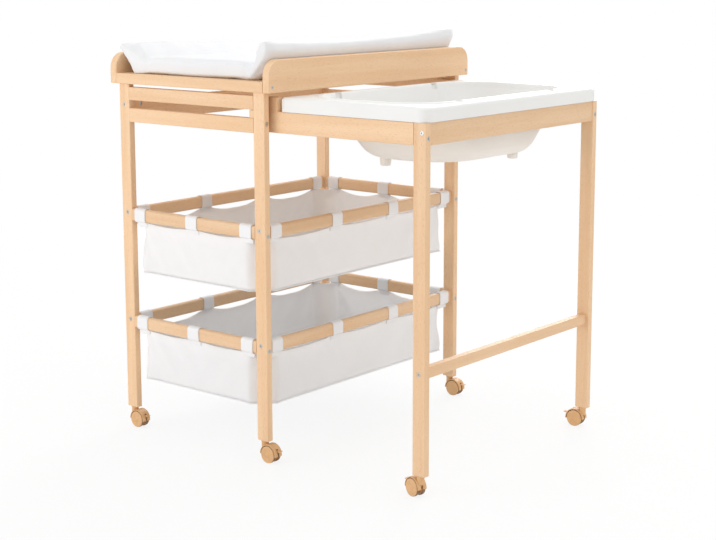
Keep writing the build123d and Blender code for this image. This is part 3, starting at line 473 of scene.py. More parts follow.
basketCloth = makeCloth("basketCloth", (0.915, 0.91, 0.915), (0.895, 0.89, 0.895), 750.0, 0.00018,
                        Sheen_Weight=0.2, Subsurface_Weight=0.55, Subsurface_Radius=(1.0, 0.97, 0.94),
                        Subsurface_Scale=0.004)
loopCloth = makeCloth("loopCloth", (0.90, 0.895, 0.90), (0.88, 0.875, 0.88), 750.0, 0.00018, Sheen_Weight=0.2)
print("materials made")

woodStems = ("post_", "_guide_", "_long_board", "_basket_rail", "tray_front", "tray_back", "tray_left",
             "tray_right", "tray_floor", "tub_leg", "tub_apron", "tub_crossbar", "tub_side", "tub_rear",
             "tub_runners", "dowels")
steelStems = ("bolts", "nuts", "screws")
# Painted shade: by how much some boards that lie in shade are darker than the rest
paintedShadeBoards = {
    "tub_apron": 0.07,
    "tub_crossbar": 0.06,
    "upper_right_basket_rail": 0.06,
    "lower_right_basket_rail": 0.06,
    "upper_front_basket_rail": 0.04,
    "lower_front_basket_rail": 0.04,
}


def dress(name, mat):
    slots = nodes[name].data.materials
    if len(slots) == 0:
        slots.append(mat)
    for index in range(len(slots)):
        slots[index] = mat


def longAxis(name):
    lo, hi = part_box(name)
    size = list(hi - lo)
    return "xyz"[size.index(max(size))]


def boardTone(name, order):
    least, span = woodFacts["tone"]
    seed = woodFacts["toneSeed"]
    chance = noiseAt((order * seed[0], seed[1], seed[2])) + 0.5
    # random tone, less the painted shade of boards that lie in shade
    return least + span * chance - paintedShadeBoards.get(name, 0.0)


for order, name in enumerate(sorted(nodes)):
    if any(stem in name for stem in woodStems):
        dress(name, makeBeech(name, longAxis(name), order, boardTone(name, order)))
    elif any(stem in name for stem in steelStems):
        dress(name, zinc)
    elif name.startswith("caster_"):
        dress(name, casterPlastic)
dress("drain_plug", plugWhite)
print("nodes finished")

# Bath: one moulded shell from the skirt's lower edge over the flange and down to the drain, on four feet
bathFacts = {
    "wall": 0.0022, "arc": 12, "normalWeight": 60,
    # the flange: its skirt, rounded edge and the fine groove that runs round it
    "skirt": 0.033, "skirtHem": 0.0015, "edge": 0.0078, "edgeSteps": 8, "edgeLead": 0.003,
    "corner": 0.026, "cornerLoss": 0.8, "groove": (0.0026, 0.0015), "grooveFrom": 0.0008,
    "grooveRim": 0.0015,
    "grooveLine": ((0.0, 0.0), (0.3, 0.75), (0.5, 1.0), (0.72, 0.75), (1.0, 0.0)),
    "plainFrom": 0.018,
    # the opening and its raised rim
    "setFront": 0.042, "setRear": 0.043, "setEnd": 0.045, "rimCorner": 0.105,
    "bead": (0.011, 0.003), "beadLead": 0.004,
    "beadLine": ((1.12, 0.0), (1.03, 0.12), (0.96, 0.5), (0.86, 0.82), (0.7, 0.97), (0.5, 1.0), (0.22, 1.0),
                 (0.04, 0.93), (-0.1, 0.72), (-0.17, 0.4), (-0.2, 0.0)),
    # the basin
    "depth": 0.1495, "wallDrops": (0.0025, 0.007, 0.0105, 0.0125, 0.03, 0.06, 0.09, 0.112),
    "floorSide": 0.025, "floorNear": 0.127, "floorFar": 0.130, "floorLead": 0.004,
    "cornerNear": 0.128, "cornerFar": 0.062, "fillet": 0.026, "filletSteps": 7,
    "farBulge": 1.35, "drain": 0.017, "drainFromEnd": 0.070,
    "drainLine": ((1.3, 0.0), (1.08, 0.0002), (1.0, 0.0012), (1.0, 0.0022)),
    # the gaps in the rim and the pockets below them
    "notch": (0.020, 0.012, 0.0055), "notchFromMid": 0.191, "notchSide": 0.0015,
    "notchBand": 0.02, "notchReach": (1.05, 0.07), "pocket": (0.0008, 0.001), "hair": 0.0002,
    # the feet
    "feet": ((0.054, 0.028), (0.104, -0.038)),
    "footRadius": 0.0135, "footTaper": (0.93, 1.04), "footSides": 32, "footInto": 0.0016,
    "footEdge": 0.0018, "footProbe": 0.05,
}


def quarterTurn(steps):
    return [radians(90 * i / steps) for i in range(steps + 1)]


def addRing(bm, xs, ys, z, near, far):
    # A closed outline with its own corner radius at each end
    oldVerts, oldEdges = set(bm.verts), set(bm.edges)
    verts = ops.create_grid(bm, x_segments=1, y_segments=1, size=0.5)["verts"]
    ops.scale(bm, vec=(xs[1] - xs[0], ys[1] - ys[0], 1), verts=verts)
    ops.translate(bm, vec=((xs[0] + xs[1]) / 2, (ys[0] + ys[1]) / 2, z), verts=verts)
    for edge, radius in ((ys[0], near), (ys[1], far)):
        corners = [v for v in bm.verts if v not in oldVerts and abs(v.co.y - edge) < 1e-6]
        bevel(bm, corners, radius, bathFacts["arc"], "VERTICES")
    return [e for e in bm.edges if e not in oldEdges]


def bathOutlines(lo, hi):
    # Every ring of the shell, as x range, y range, height and the corner radii of its two ends
    f = bathFacts
    top = hi.z - f["bead"][1]
    rings = []

    def flange(inset, z):
        r = f["corner"] - inset * f["cornerLoss"]
        rings.append(((lo.x + inset, hi.x - inset), (lo.y + inset, hi.y - inset), z, r, r))

    for z in (top - f["skirt"], top - f["skirt"] + f["skirtHem"], top - f["edge"] - f["edgeLead"]):
        flange(0, z)
    for a in quarterTurn(f["edgeSteps"]):
        flange(f["edge"] * (1 - cos(a)), top - f["edge"] * (1 - sin(a)))
    width, deep = f["groove"]
    start = f["edge"] + f["grooveFrom"]
    for share, fall in f["grooveLine"]:
        flange(start + width * share, top - deep * fall)
    flange(start + width + f["grooveRim"], top)
    flange(f["plainFrom"], top)

    rimX = (lo.x + f["setRear"], hi.x - f["setFront"])
    rimY = (lo.y + f["setEnd"], hi.y - f["setEnd"])

    def lip(out, z):
        r = f["rimCorner"] + out
        rings.append(((rimX[0] - out, rimX[1] + out), (rimY[0] - out, rimY[1] + out), z, r, r))

    beadWidth, beadHeight = f["bead"]
    lip(beadWidth + f["beadLead"], top)
    for out, rise in f["beadLine"]:
        lip(beadWidth * out, top + beadHeight * rise)

    floorX = (rimX[0] + f["floorSide"], rimX[1] - f["floorSide"])
    floorY = (rimY[0] + f["floorNear"], rimY[1] - f["floorFar"])
    level, high = top - f["depth"] + f["wall"], top + beadHeight

    def wall(z, inset=0.0):
        t = (high - z) / (high - level)
        d = f["wall"] + inset
        xs = (rimX[0] + (floorX[0] - rimX[0]) * t + d, rimX[1] + (floorX[1] - rimX[1]) * t - d)
        ys = (rimY[0] + (floorY[0] - rimY[0]) * t + d, rimY[1] + (floorY[1] - rimY[1]) * t ** f["farBulge"] - d)
        near, far = (f["rimCorner"] * (1 - t) + r * t - d for r in (f["cornerNear"], f["cornerFar"]))
        rings.append((xs, ys, z, near, far))

    for drop in f["wallDrops"]:
        wall(top - drop)
    r = f["fillet"] - f["wall"]
    for a in quarterTurn(f["filletSteps"]):
        wall(level + r * (1 - sin(a)), r * (1 - cos(a)))
    wall(level, r + f["floorLead"])
    return rings, floorX, floorY, level, top


def cutNotches(bm, lo, hi, top):
    # Four gaps in the raised rim, each with a shallow pocket below it
    f = bathFacts
    length, high, deep = f["notch"]
    midX, midY = (lo.x + hi.x) / 2, (lo.y + hi.y) / 2
    places = [midY + side * f["notchFromMid"] for side in (-1, 1)]
    outer = length / 2 + f["notchSide"]
    for place in places:
        for shift in (-outer, -length / 2, length / 2, outer):
            near = [g for g in bm.faces if g.calc_center_median().z > top - f["notchBand"]]
            geom = list({e for g in near for e in g.edges}) + near
            ops.bisect_plane(bm, geom=geom, plane_co=(0, place + shift, 0), plane_no=(0, 1, 0))
    beadShare, rimTo = f["notchReach"]
    rimFrom = min(f["setFront"], f["setRear"]) - f["bead"][0] * beadShare
    pocketIn, pocketUp = f["pocket"]
    for v in bm.verts:
        fromEdge = min(v.co.x - lo.x, hi.x - v.co.x)
        fromPlace = min(abs(v.co.y - place) for place in places)
        if fromPlace > length / 2 + f["hair"] or not rimFrom < fromEdge < rimTo:
            continue
        if v.co.z > top:
            v.co.z = top + f["hair"]
        if top - high < v.co.z < top + pocketUp and fromEdge > f["setFront"] + pocketIn:
            v.co.x += copysign(deep, v.co.x - midX)


def addFeet(bm, shell, floorX, floorY, low):
    f = bathFacts
    tree = BVHTree.FromBMesh(shell)
    midX = (floorX[0] + floorX[1]) / 2
    narrow, wide = (f["footRadius"] * share for share in f["footTaper"])
    for half, inset in f["feet"]:
        y = floorY[0] + inset if inset > 0 else floorY[1] + inset
        for side in (-1, 1):
            foot = ops.create_cone(bm, cap_ends=True, segments=f["footSides"], radius1=narrow,
                                   radius2=wide, depth=1.0)["verts"]
            ops.translate(bm, vec=(midX + side * half, y, 0), verts=foot)
            lid = [g for g in {g for v in foot for g in v.link_faces} if all(v.co.z > 0 for v in g.verts)]
            foot += ops.poke(bm, faces=lid)["verts"]
            for v in foot:
                if v.co.z > 0:
                    below = Vector((v.co.x, v.co.y, low - f["footProbe"]))
                    v.co.z = tree.ray_cast(below, Vector((0, 0, 1)))[0].z - f["footInto"]
                else:
                    v.co.z = low
            rim = [e for e in edgesOf(foot) if all(v.co.z < low + 1e-6 for v in e.verts)]
            bevel(bm, rim, f["footEdge"], 3)


def makeBath():
    f = bathFacts
    lo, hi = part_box("bathtub")
    rings, floorX, floorY, level, top = bathOutlines(lo, hi)
    bm = bmesh.new()
    # the rings are bridged well apart, because rings in one plane twist, and then put at their heights
    loops = [addRing(bm, xs, ys, -order, near, far) for order, (xs, ys, z, near, far) in enumerate(rings)]
    levels = [ring[2] for ring in rings]
    centre = ((floorX[0] + floorX[1]) / 2, floorY[1] - f["drainFromEnd"])
    for share, fall in f["drainLine"]:
        made = ops.create_circle(bm, cap_ends=False, radius=f["drain"] * share,
                                 segments=len(loops[0]))["verts"]
        ops.translate(bm, vec=(*centre, -len(loops)), verts=made)
        loops.append(edgesOf(made))
        levels.append(level - fall)
    ops.delete(bm, geom=bm.faces[:], context="FACES_ONLY")
    bridge(bm, loops)
    for loop, z in zip(loops, levels):
        for edge in loop:
            for v in edge.verts:
                v.co.z = z
    turnOut(bm)
    flangeTop = max(bm.faces, key=lambda g: g.calc_area() if g.calc_center_median().z > top - f["hair"] else 0)
    if flangeTop.normal.z < 0:
        ops.reverse_faces(bm, faces=bm.faces)
    cutNotches(bm, lo, hi, top)
    feet = bmesh.new()
    addFeet(feet, bm, floorX, floorY, lo.z)
    bath = addObject("bathShell", bm)
    # the solidified outer face takes the second slot, the painted warm bounce light and shade of the underside
    addModifier(bath, "wall", "SOLIDIFY", thickness=f["wall"], offset=-1, use_quality_normals=True,
                material_offset=1, material_offset_rim=0)
    bath.data.materials.append(bathWhite)
    bath.data.materials.append(bathUnder)
    applyModifiers(bath)
    whole = bmesh.new()
    whole.from_mesh(bath.data)
    shellFaces = len(whole.faces)
    addPart(whole, feet)
    whole.faces.ensure_lookup_table()
    # the feet take the painted warm bounce light and shade as well
    for face in whole.faces[shellFaces:]:
        face.material_index = 1
        face.smooth = True
    whole.to_mesh(bath.data)
    whole.free()
    addModifier(bath, "even", "WEIGHTED_NORMAL", weight=f["normalWeight"])
    tie(bath, "carriage", "bathtub")
    return bath


bath = makeBath()
print("bath made:", len(bath.data.polygons), "faces")

# Changing mat: a padded trough, swollen in its cover
matFacts = {
    "voxel": 0.0056,
    "cloth": {"use_pressure": True, "uniform_pressure_force": 3.5, "mass": 0.3, "tension_stiffness": 15,
              "compression_stiffness": 15, "bending_stiffness": 0.4},
    "gravity": 0, "frames": 18, "maxMove": 0.006, "startShrink": 0.0022, "longEdge": 0.03,
    "places": (0.0, 0.006, 0.02, 0.06, 0.13, 0.22, 0.30, 0.37),
    # how much the ends draw in, over which length, and the shares of it at the crest, shoulder and bed
    "endDraw": 0.009, "drawLength": 0.02, "drawShares": (0.3, 0.6, 0.2), "baseHalf": 0.212,
    "lip": (0.2485, 0.0545), "crestHalf": 0.259, "crestWidth": 0.034,
    "shoulder": (0.006, 0.004), "crown": 0.001,
    # each wedge: crest height near, midway and far, foot, outer bulge, crest's top, slope and toe
    "left": {"crest": (0.083, 0.066, 0.062), "foot": -0.168, "bulge": 0.5, "top": 0.5, "slope": (1.1, 0.009),
             "toe": (0.004, 0.006)},
    "right": {"crest": (0.101, 0.092, 0.110), "foot": 0.203, "bulge": 0.55, "top": 0.55, "slope": (1.15, 0.010),
              "toe": (0.004, 0.008)},
    "bed": 0.034, "bedCrown": 0.006,
    "bedLine": ((0.012, 0.3), (0.06, 0.9)),
    # the cover: slack, a crease at each wedge's foot and a groove across the bed near each end
    "wrinkle": 0.0013, "slackScale": (9, 14, 20), "puckerScale": (31, 19, 1),
    "pucker": (4.0, 0.5), "crease": (0.011, 0.0030), "endGroove": (0.0046, 0.015, 0.005),
    "boardTop": 0.9685, "boardInner": 0.2503, "boardGap": 0.0006, "boardLip": (0.006, 0.003),
    "fill": 0.8,
}


def crestAt(heights, share):
    # Crest height at a share of the mat's length, from its near, middle and far heights
    near, middle, far = heights
    bow = 1 - (2 * share - 1) ** 2
    return near + (far - near) * share + (middle - (near + far) / 2) * bow


def matWedge(side, share, draw):
    # One wedge's outline from its outer side to the bed, with side 1 on the right and -1 on the left
    f = matFacts
    own = f["right" if side > 0 else "left"]
    crestDraw, shoulderDraw, bedDraw = f["drawShares"]
    high = crestAt(own["crest"], share) - draw * crestDraw
    bed = f["bed"] - draw * bedDraw
    lipZ, half, wide, foot = f["lip"][1], f["crestHalf"], f["crestWidth"], own["foot"]
    shoulderIn, shoulderDown = f["shoulder"]
    slopeIn, slopeDown = own["slope"]
    toeOut, toeUp = own["toe"]
    return [(side * (half - draw), lipZ + (high - lipZ) * own["bulge"]),
            (side * (half - shoulderIn - draw * shoulderDraw), high - shoulderDown),
            (side * (half - wide * own["top"]), high + f["crown"]),
            (side * (half - wide * slopeIn), high - slopeDown),
            (foot + side * toeOut, bed + toeUp),
            *((foot - side * inward, bed + f["bedCrown"] * rise) for inward, rise in f["bedLine"])]


def matSection(share, draw):
    # The closed outline across the mat, from the base's left corner, as (x, z)
    f = matFacts
    base = f["baseHalf"] - draw
    lipX, lipZ = f["lip"][0] - draw, f["lip"][1]
    middle = (0.0, f["bed"] - draw * f["drawShares"][2] + f["bedCrown"])
    return [(-base, 0.0), (0, 0), (base, 0.0), (lipX, lipZ), *matWedge(1, share, draw), middle,
            *reversed(matWedge(-1, share, draw)), (-lipX, lipZ)]


def clampMat(p, midX, base):
    # Keeps a point out of the boards and off the tray's floor
    f = matFacts
    side = p.x - midX
    reach, over = f["boardInner"] - f["boardGap"], f["boardTop"] + f["boardGap"]
    if p.z < over and abs(side) > reach:
        if f["boardTop"] - p.z < f["boardLip"][0] and abs(side) > reach + f["boardLip"][1]:
            p.z = over
        else:
            p.x = midX + copysign(reach, side)
    p.z = max(p.z, base)
    return p


def foldCover(mesh, midX, y0, y1, base):
    # Shallow creases where the bed meets its wedges, and a slack cover elsewhere
    f = matFacts
    left, right = f["left"]["foot"], f["right"]["foot"]
    creaseWide, creaseDeep = f["crease"]
    grooveDeep, grooveFrom, grooveWide = f["endGroove"]
    puckerSeed, puckerShare = f["pucker"]
    normals = [v.normal.copy() for v in mesh.vertices]
    for v, n in zip(mesh.vertices, normals):
        p = v.co
        side = p.x - midX
        foot = sum(exp(-((side - at) / creaseWide) ** 2) for at in (right, left))
        pucker = noiseAt((p.x, p.y, puckerSeed), f["puckerScale"])
        slack = noiseAt(p, f["slackScale"]) + puckerShare * pucker
        if n.z > 0.1:
            p += n * (slack * f["wrinkle"] - foot * creaseDeep)
        fromEnd = min(p.y - y0, y1 - p.y)
        if n.z > 0.3 and left < side < right:
            p.z -= grooveDeep * exp(-((fromEnd - grooveFrom) / grooveWide) ** 2)
        elif abs(n.y) > 0.5:
            p += n * slack * f["wrinkle"]
        v.co = clampMat(p, midX, base)


def makeMat():
    f = matFacts
    lo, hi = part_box("changing_mat")
    midX, base = (lo.x + hi.x) / 2, lo.z
    length = hi.y - lo.y
    bm = bmesh.new()
    places = list(f["places"])
    places += [length - place for place in reversed(places)]
    loops = []
    for place in places:
        fromEnd = min(place, length - place)
        draw = f["endDraw"] * max(0.0, 1 - fromEnd / f["drawLength"]) ** 2
        ring = [bm.verts.new((midX + x, lo.y + place, base + z)) for x, z in matSection(place / length, draw)]
        loops.append([bm.edges.new(pair) for pair in zip(ring, ring[1:] + ring[:1])])
    bridge(bm, loops)
    for loop in (loops[0], loops[-1]):
        ops.contextual_create(bm, geom=loop)
    turnOut(bm)
    ops.triangulate(bm, faces=[g for g in bm.faces if len(g.verts) > 4])
    long = [e for e in bm.edges if e.calc_length() > f["longEdge"]]
    ops.subdivide_edges(bm, edges=long, cuts=1, use_grid_fill=True)
    bm.normal_update()
    for v in bm.verts:
        v.co -= v.normal * f["startShrink"]
    mat = addObject("changingMat", bm)
    addModifier(mat, "remesh", "REMESH", mode="VOXEL", voxel_size=f["voxel"])
    applyModifiers(mat)
    runCloth(mat, f["cloth"], f["gravity"], f["frames"], f["maxMove"])
    mat.data.update()
    foldCover(mat.data, midX, lo.y, hi.y, base)
    mat.data.update()
    addModifier(mat, "smooth", "SUBSURF", levels=1, render_levels=1)
    applyModifiers(mat)
    for v in mat.data.vertices:
        v.co = clampMat(v.co, midX, base)
    shade(mat.data)
    tie(mat, "table", "changing_mat", [matCover])
    return mat


changingMat = makeMat()
print("changing mat made:", len(changingMat.data.polygons), "faces")

# Baskets: a hung bag of cloth, its seam, and the loops round the rails
basketFacts = {
    "drop": 0.131, "flare": 0.005, "cutTop": 0.056, "cutFoot": 0.048, "cell": 0.0125,
    "weld": 0.004, "rows": 9, "wall": 0.0012, "seam": 0.0013,
    "cloth": {"vertex_group_mass": "held", "mass": 0.12, "tension_stiffness": 30, "compression_stiffness": 18,
              "shear_stiffness": 8, "bending_stiffness": 1.5, "air_damping": 4, "pin_stiffness": 1.0},
    "gravity": 1, "frames": 24, "maxMove": 0.006, "held": 0.021, "hemSag": 0.004,
    "farSag": 0.012, "farFrom": 0.02, "hemReach": 0.075, "hemBelow": 0.0005,
    # drawn creases: depth, clear edge, slope, scale of the noise, sharpness and reach
    "crease": 0.0065, "creaseEdge": 0.012, "creaseSlope": 0.8, "creaseScale": (17, 9, 2.5),
    "creaseSharp": 4, "creaseReach": 0.4, "loopWidth": 0.038, "loopIn": 0.030,
    "loopWall": 0.0011, "loopGap": 0.0005, "loopRound": 0.0062, "ripple": (0.0006, 90, 40, 3.1),
    "wave": (0.0008, 60, 1.3), "mouth": 0.0005, "tail": (0.97, 0.0056, 0.0012),
    "tailDrop": 0.011, "tailInto": 0.002, "soft": 0.0003,
}
# A face is flat or square to an axis above these, and the last one is a diagonal's share
uvFacts = {"flat": 0.7, "square": 0.85, "diagonal": 0.7071}
railSides = ("left", "right", "front", "back")


def railCentres(tier):
    left, right, front, back = (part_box(tier + "_" + side + "_basket_rail") for side in railSides)
    xs = [(lo.x + hi.x) / 2 for lo, hi in (left, right)]
    ys = [(lo.y + hi.y) / 2 for lo, hi in (front, back)]
    return xs, ys, left, front


def loopPlaces(tier):
    # Centre of each loop and the way its rail runs
    xs, ys, left, front = railCentres(tier)
    inset = basketFacts["loopIn"]
    x0, x1 = front[0].x + inset, front[1].x - inset
    y0, y1 = left[0].y + inset, left[1].y - inset
    level = (left[0].z + left[1].z) / 2
    places = [(Vector((x, y, level)), "x") for y in ys for x in (x0, (x0 + x1) / 2, x1)]
    places += [(Vector((x, y0 + (y1 - y0) * i / 3, level)), "y") for x in xs for i in range(4)]
    return places


def bagOutline(p, mid, half, t):
    # Moves a point of the foot's outline to its place at height t, 0 at the foot and 1 at the mouth
    f = basketFacts
    flare = f["flare"]
    cut = f["cutFoot"] * (1 - t) + f["cutTop"] * t
    hx, hy = half[0] + flare * (1 - t), half[1] + flare * (1 - t)
    x, y = (p.x - mid[0]) * hx / (half[0] + flare), (p.y - mid[1]) * hy / (half[1] + flare)
    over = abs(x) + abs(y) - (hx + hy - cut)
    if over > 0:
        x -= copysign(over / 2, x)
        y -= copysign(over / 2, y)
    return Vector((mid[0] + x, mid[1] + y, 0))


def fromLoop(p, loops):
    return min(hypot(p.x - q.x, p.y - q.y) for q in loops)


def makeBag(tier):
    f = basketFacts
    xs, ys, left = railCentres(tier)[:3]
    mid = (sum(xs) / 2, sum(ys) / 2)
    half = ((xs[1] - xs[0]) / 2, (ys[1] - ys[0]) / 2)
    loops = [place for place, along in loopPlaces(tier)]
    railFoot = left[0].z
    foot = railFoot - f["drop"]
    hx, hy = half[0] + f["flare"], half[1] + f["flare"]
    bm = bmesh.new()
    ops.create_grid(bm, x_segments=round(2 * hx / f["cell"]), y_segments=round(2 * hy / f["cell"]), size=1.0)
    ops.scale(bm, vec=(hx, hy, 1), verts=bm.verts)
    for sx in (-1, 1):
        for sy in (-1, 1):
            ops.bisect_plane(bm, geom=everything(bm), plane_co=(sx * hx, sy * (hy - f["cutFoot"]), 0),
                             plane_no=(sx, sy, 0), clear_outer=True)
    ops.remove_doubles(bm, verts=bm.verts, dist=f["weld"])
    ops.translate(bm, vec=(mid[0], mid[1], foot), verts=bm.verts)
    rim = [e for e in bm.edges if e.is_boundary]
    footPairs = [tuple(e.verts) for e in rim]
    base = {v: v.co.copy() for e in rim for v in e.verts}
    hemVerts = []
    for row in range(1, f["rows"] + 1):
        t = row / f["rows"]
        made = ops.extrude_edge_only(bm, edges=rim)["geom"]
        verts = [g for g in made if isinstance(g, bmesh.types.BMVert)]
        fresh = set(verts)
        rim = [g for g in made if isinstance(g, bmesh.types.BMEdge) and all(v in fresh for v in g.verts)]
        base = {v: base[next(e.other_vert(v) for e in v.link_edges if e.other_vert(v) in base)] for v in verts}
        for v in verts:
            v.co = bagOutline(base[v], mid, half, t)
            away = min(1.0, max(0.0, (fromLoop(v.co, loops) - f["loopWidth"] / 2) / f["hemReach"]))
            far = v.co.x < mid[0] - half[0] + f["farFrom"] or v.co.y > mid[1] + half[1] - f["farFrom"]
            top = railFoot - f["hemBelow"] - (f["farSag"] if far else f["hemSag"]) * away * (2 - away)
            v.co.z = foot + (top - foot) * t
        if row >= f["rows"] - 1:
            hemVerts += verts
    turnOut(bm)
    if sum(g.normal.z for g in bm.faces) > 0:
        ops.reverse_faces(bm, faces=bm.faces)
    bm.verts.index_update()
    cloth = sum(g.calc_area() for g in bm.faces)
    mouth = {v.index for v in verts}
    hemIndex = {v.index for v in hemVerts}
    footLoop = [(a.index, b.index) for a, b in footPairs]
    bag = addObject(tier + "Bag", bm)
    hang(bag, mouth, loops)
    paintUv(bag)
    seam = makeSeam(tier + "BagSeam", bag, footLoop)
    hem = bag.vertex_groups.new(name="hem")
    for v in bag.data.vertices:
        hem.add([v.index], 1.0 if v.index in hemIndex else 0.5, "REPLACE")
    addModifier(bag, "thick", "SOLIDIFY", thickness=f["wall"] * 2, offset=0.0, vertex_group="hem")
    addModifier(bag, "smooth", "SUBSURF", levels=1, render_levels=1)
    tie(bag, "table", tier + "_basket", [basketCloth])
    return bag, seam, cloth, (2 * half[0] + 2 * f["drop"], 2 * half[1] + 2 * f["drop"])


def hang(bag, mouth, loops):
    # Cloth held at the loops, and slack along its hem between them
    f = basketFacts
    group = bag.vertex_groups.new(name="held")
    for v in bag.data.vertices:
        if v.index in mouth:
            group.add([v.index], 1.0 if fromLoop(v.co, loops) < f["held"] else 0.5, "REPLACE")
    runCloth(bag, f["cloth"], f["gravity"], f["frames"], f["maxMove"])
    # drawn creases that run from each corner loop down across the walls
    corners = [Vector((x, y, 0)) for x in (min(q.x for q in loops), max(q.x for q in loops))
               for y in (min(q.y for q in loops), max(q.y for q in loops))]
    top = max(v.co.z for v in bag.data.vertices)
    for v in bag.data.vertices:
        flat = Vector((v.co.x, v.co.y, 0))
        away = min((flat - corner).length for corner in corners)
        down = top - v.co.z
        if f["creaseEdge"] < down < f["drop"] - f["creaseEdge"] and v.index not in mouth:
            wave = noiseAt((away - f["creaseSlope"] * down, top, flat.x + flat.y), f["creaseScale"])
            sharp = max(0.0, 1 - f["creaseSharp"] * abs(wave))
            v.co += v.normal * f["crease"] * sharp * exp(-away / f["creaseReach"])


def paintUv(obj):
    # Cloth coordinates in metres, taken from the side that a face looks to
    mesh = obj.data
    uv = mesh.uv_layers.new(name="cloth").data
    for face in mesh.polygons:
        n = face.normal
        for loop in face.loop_indices:
            x, y, z = mesh.vertices[mesh.loops[loop].vertex_index].co
            if abs(n.z) > uvFacts["flat"]:
                uv[loop].uv = (x, y)
            elif abs(n.x) > uvFacts["square"]:
                uv[loop].uv = (y, z)
            else:
                uv[loop].uv = (x if abs(n.y) > uvFacts["square"] else (x - y) * uvFacts["diagonal"], z)


def makeSeam(name, bag, edges):
    # A thin piped seam where the walls meet the floor, one closed run
    links = {}
    for a, b in edges:
        links.setdefault(a, []).append(b)
        links.setdefault(b, []).append(a)
    first = edges[0][0]
    order, last = [first], None
    while True:
        step = [n for n in links[order[-1]] if n != last]
        last = order[-1]
        if not step or step[0] == first or len(order) > len(links):
            break
        order.append(step[0])
    curve = bpy.data.curves.new(name, "CURVE")
    curve.dimensions = "3D"
    curve.bevel_depth = basketFacts["seam"]
    curve.bevel_resolution = 2
    spline = curve.splines.new("POLY")
    spline.points.add(len(order) - 1)
    for point, index in zip(spline.points, order):
        point.co = (*bag.data.vertices[index].co, 1)
    spline.use_cyclic_u = True
    tube = newObject(name, curve)
    mesh = bpy.data.meshes.new_from_object(tube.evaluated_get(bpy.context.evaluated_depsgraph_get()))
    bpy.data.objects.remove(tube)
    seam = newObject(name, mesh)
    shade(mesh)
    paintUv(seam)
    mesh.materials.clear()
    tie(seam, "table", materials=[loopCloth])
    return seam


def longEdges(bm, width):
    return [e for e in bm.edges if abs(e.verts[0].co.x - e.verts[1].co.x) > width * 0.9]


def addBand(bm, size, order):
    # A loop's band along X, a little wavy, with its two sewn ends below that take the bag's hem
    f = basketFacts
    width, high = f["loopWidth"], size[2]
    addBox(bm, size, (0, 0, 0))
    ops.delete(bm, geom=[g for g in bm.faces if abs(g.normal.x) > 0.9], context="FACES_ONLY")
    bevel(bm, longEdges(bm, width), f["loopRound"], 4)
    ops.subdivide_edges(bm, edges=longEdges(bm, width), cuts=6)
    swing, scaleX, scaleYZ, step = f["ripple"]
    shift, waveScale, waveStep = f["wave"]
    for v in bm.verts:
        edge = abs(v.co.x) / (width / 2)
        out = Vector((0, v.co.y, v.co.z)).normalized()
        ripple = noiseAt((v.co.x * scaleX, v.co.y * scaleYZ + order * step, v.co.z * scaleYZ))
        v.co += out * (swing * ripple + f["mouth"] * edge ** 3)
        wave = noiseAt((v.co.z * waveScale, order * waveStep, 0.5))
        v.co.x += shift * wave * (1 if v.co.x > 0 else -1)
    turnOut(bm)
    ops.solidify(bm, geom=bm.faces[:], thickness=-f["loopWall"])
    share, thick, rounding = f["tail"]
    middle = (0, 0, -high / 2 - f["tailDrop"] / 2)
    tail = addBox(bm, (width * share, thick, f["tailDrop"] + f["tailInto"]), middle)
    bevel(bm, edgesOf(tail), rounding, 2)


def makeLoops(tier):
    f = basketFacts
    lo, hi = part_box(tier + "_front_basket_rail")
    size = (f["loopWidth"], hi.y - lo.y + 2 * f["loopGap"], hi.z - lo.z + 2 * f["loopGap"])
    xs, ys = railCentres(tier)[:2]
    mid = Vector((sum(xs) / 2, sum(ys) / 2, 0))
    bm = bmesh.new()
    for order, (place, along) in enumerate(loopPlaces(tier)):
        band = bmesh.new()
        addBand(band, size, order)
        if along == "x":
            turn = 0 if place.y < mid.y else pi
        else:
            turn = pi / 2 if place.x > mid.x else -pi / 2
        turnAndMove(band, Matrix.Rotation(turn, 3, "Z"), place)
        addPart(bm, band)
    loops = addObject(tier + "BasketLoops", bm)
    paintUv(loops)
    addModifier(loops, "soft", "BEVEL", width=f["soft"], segments=1, limit_method="ANGLE")
    tie(loops, "table", materials=[loopCloth])
    return loops


for tier in ("upper", "lower"):
    bag, seam, cloth, flat = makeBag(tier)
    loops = makeLoops(tier)
print("baskets made")

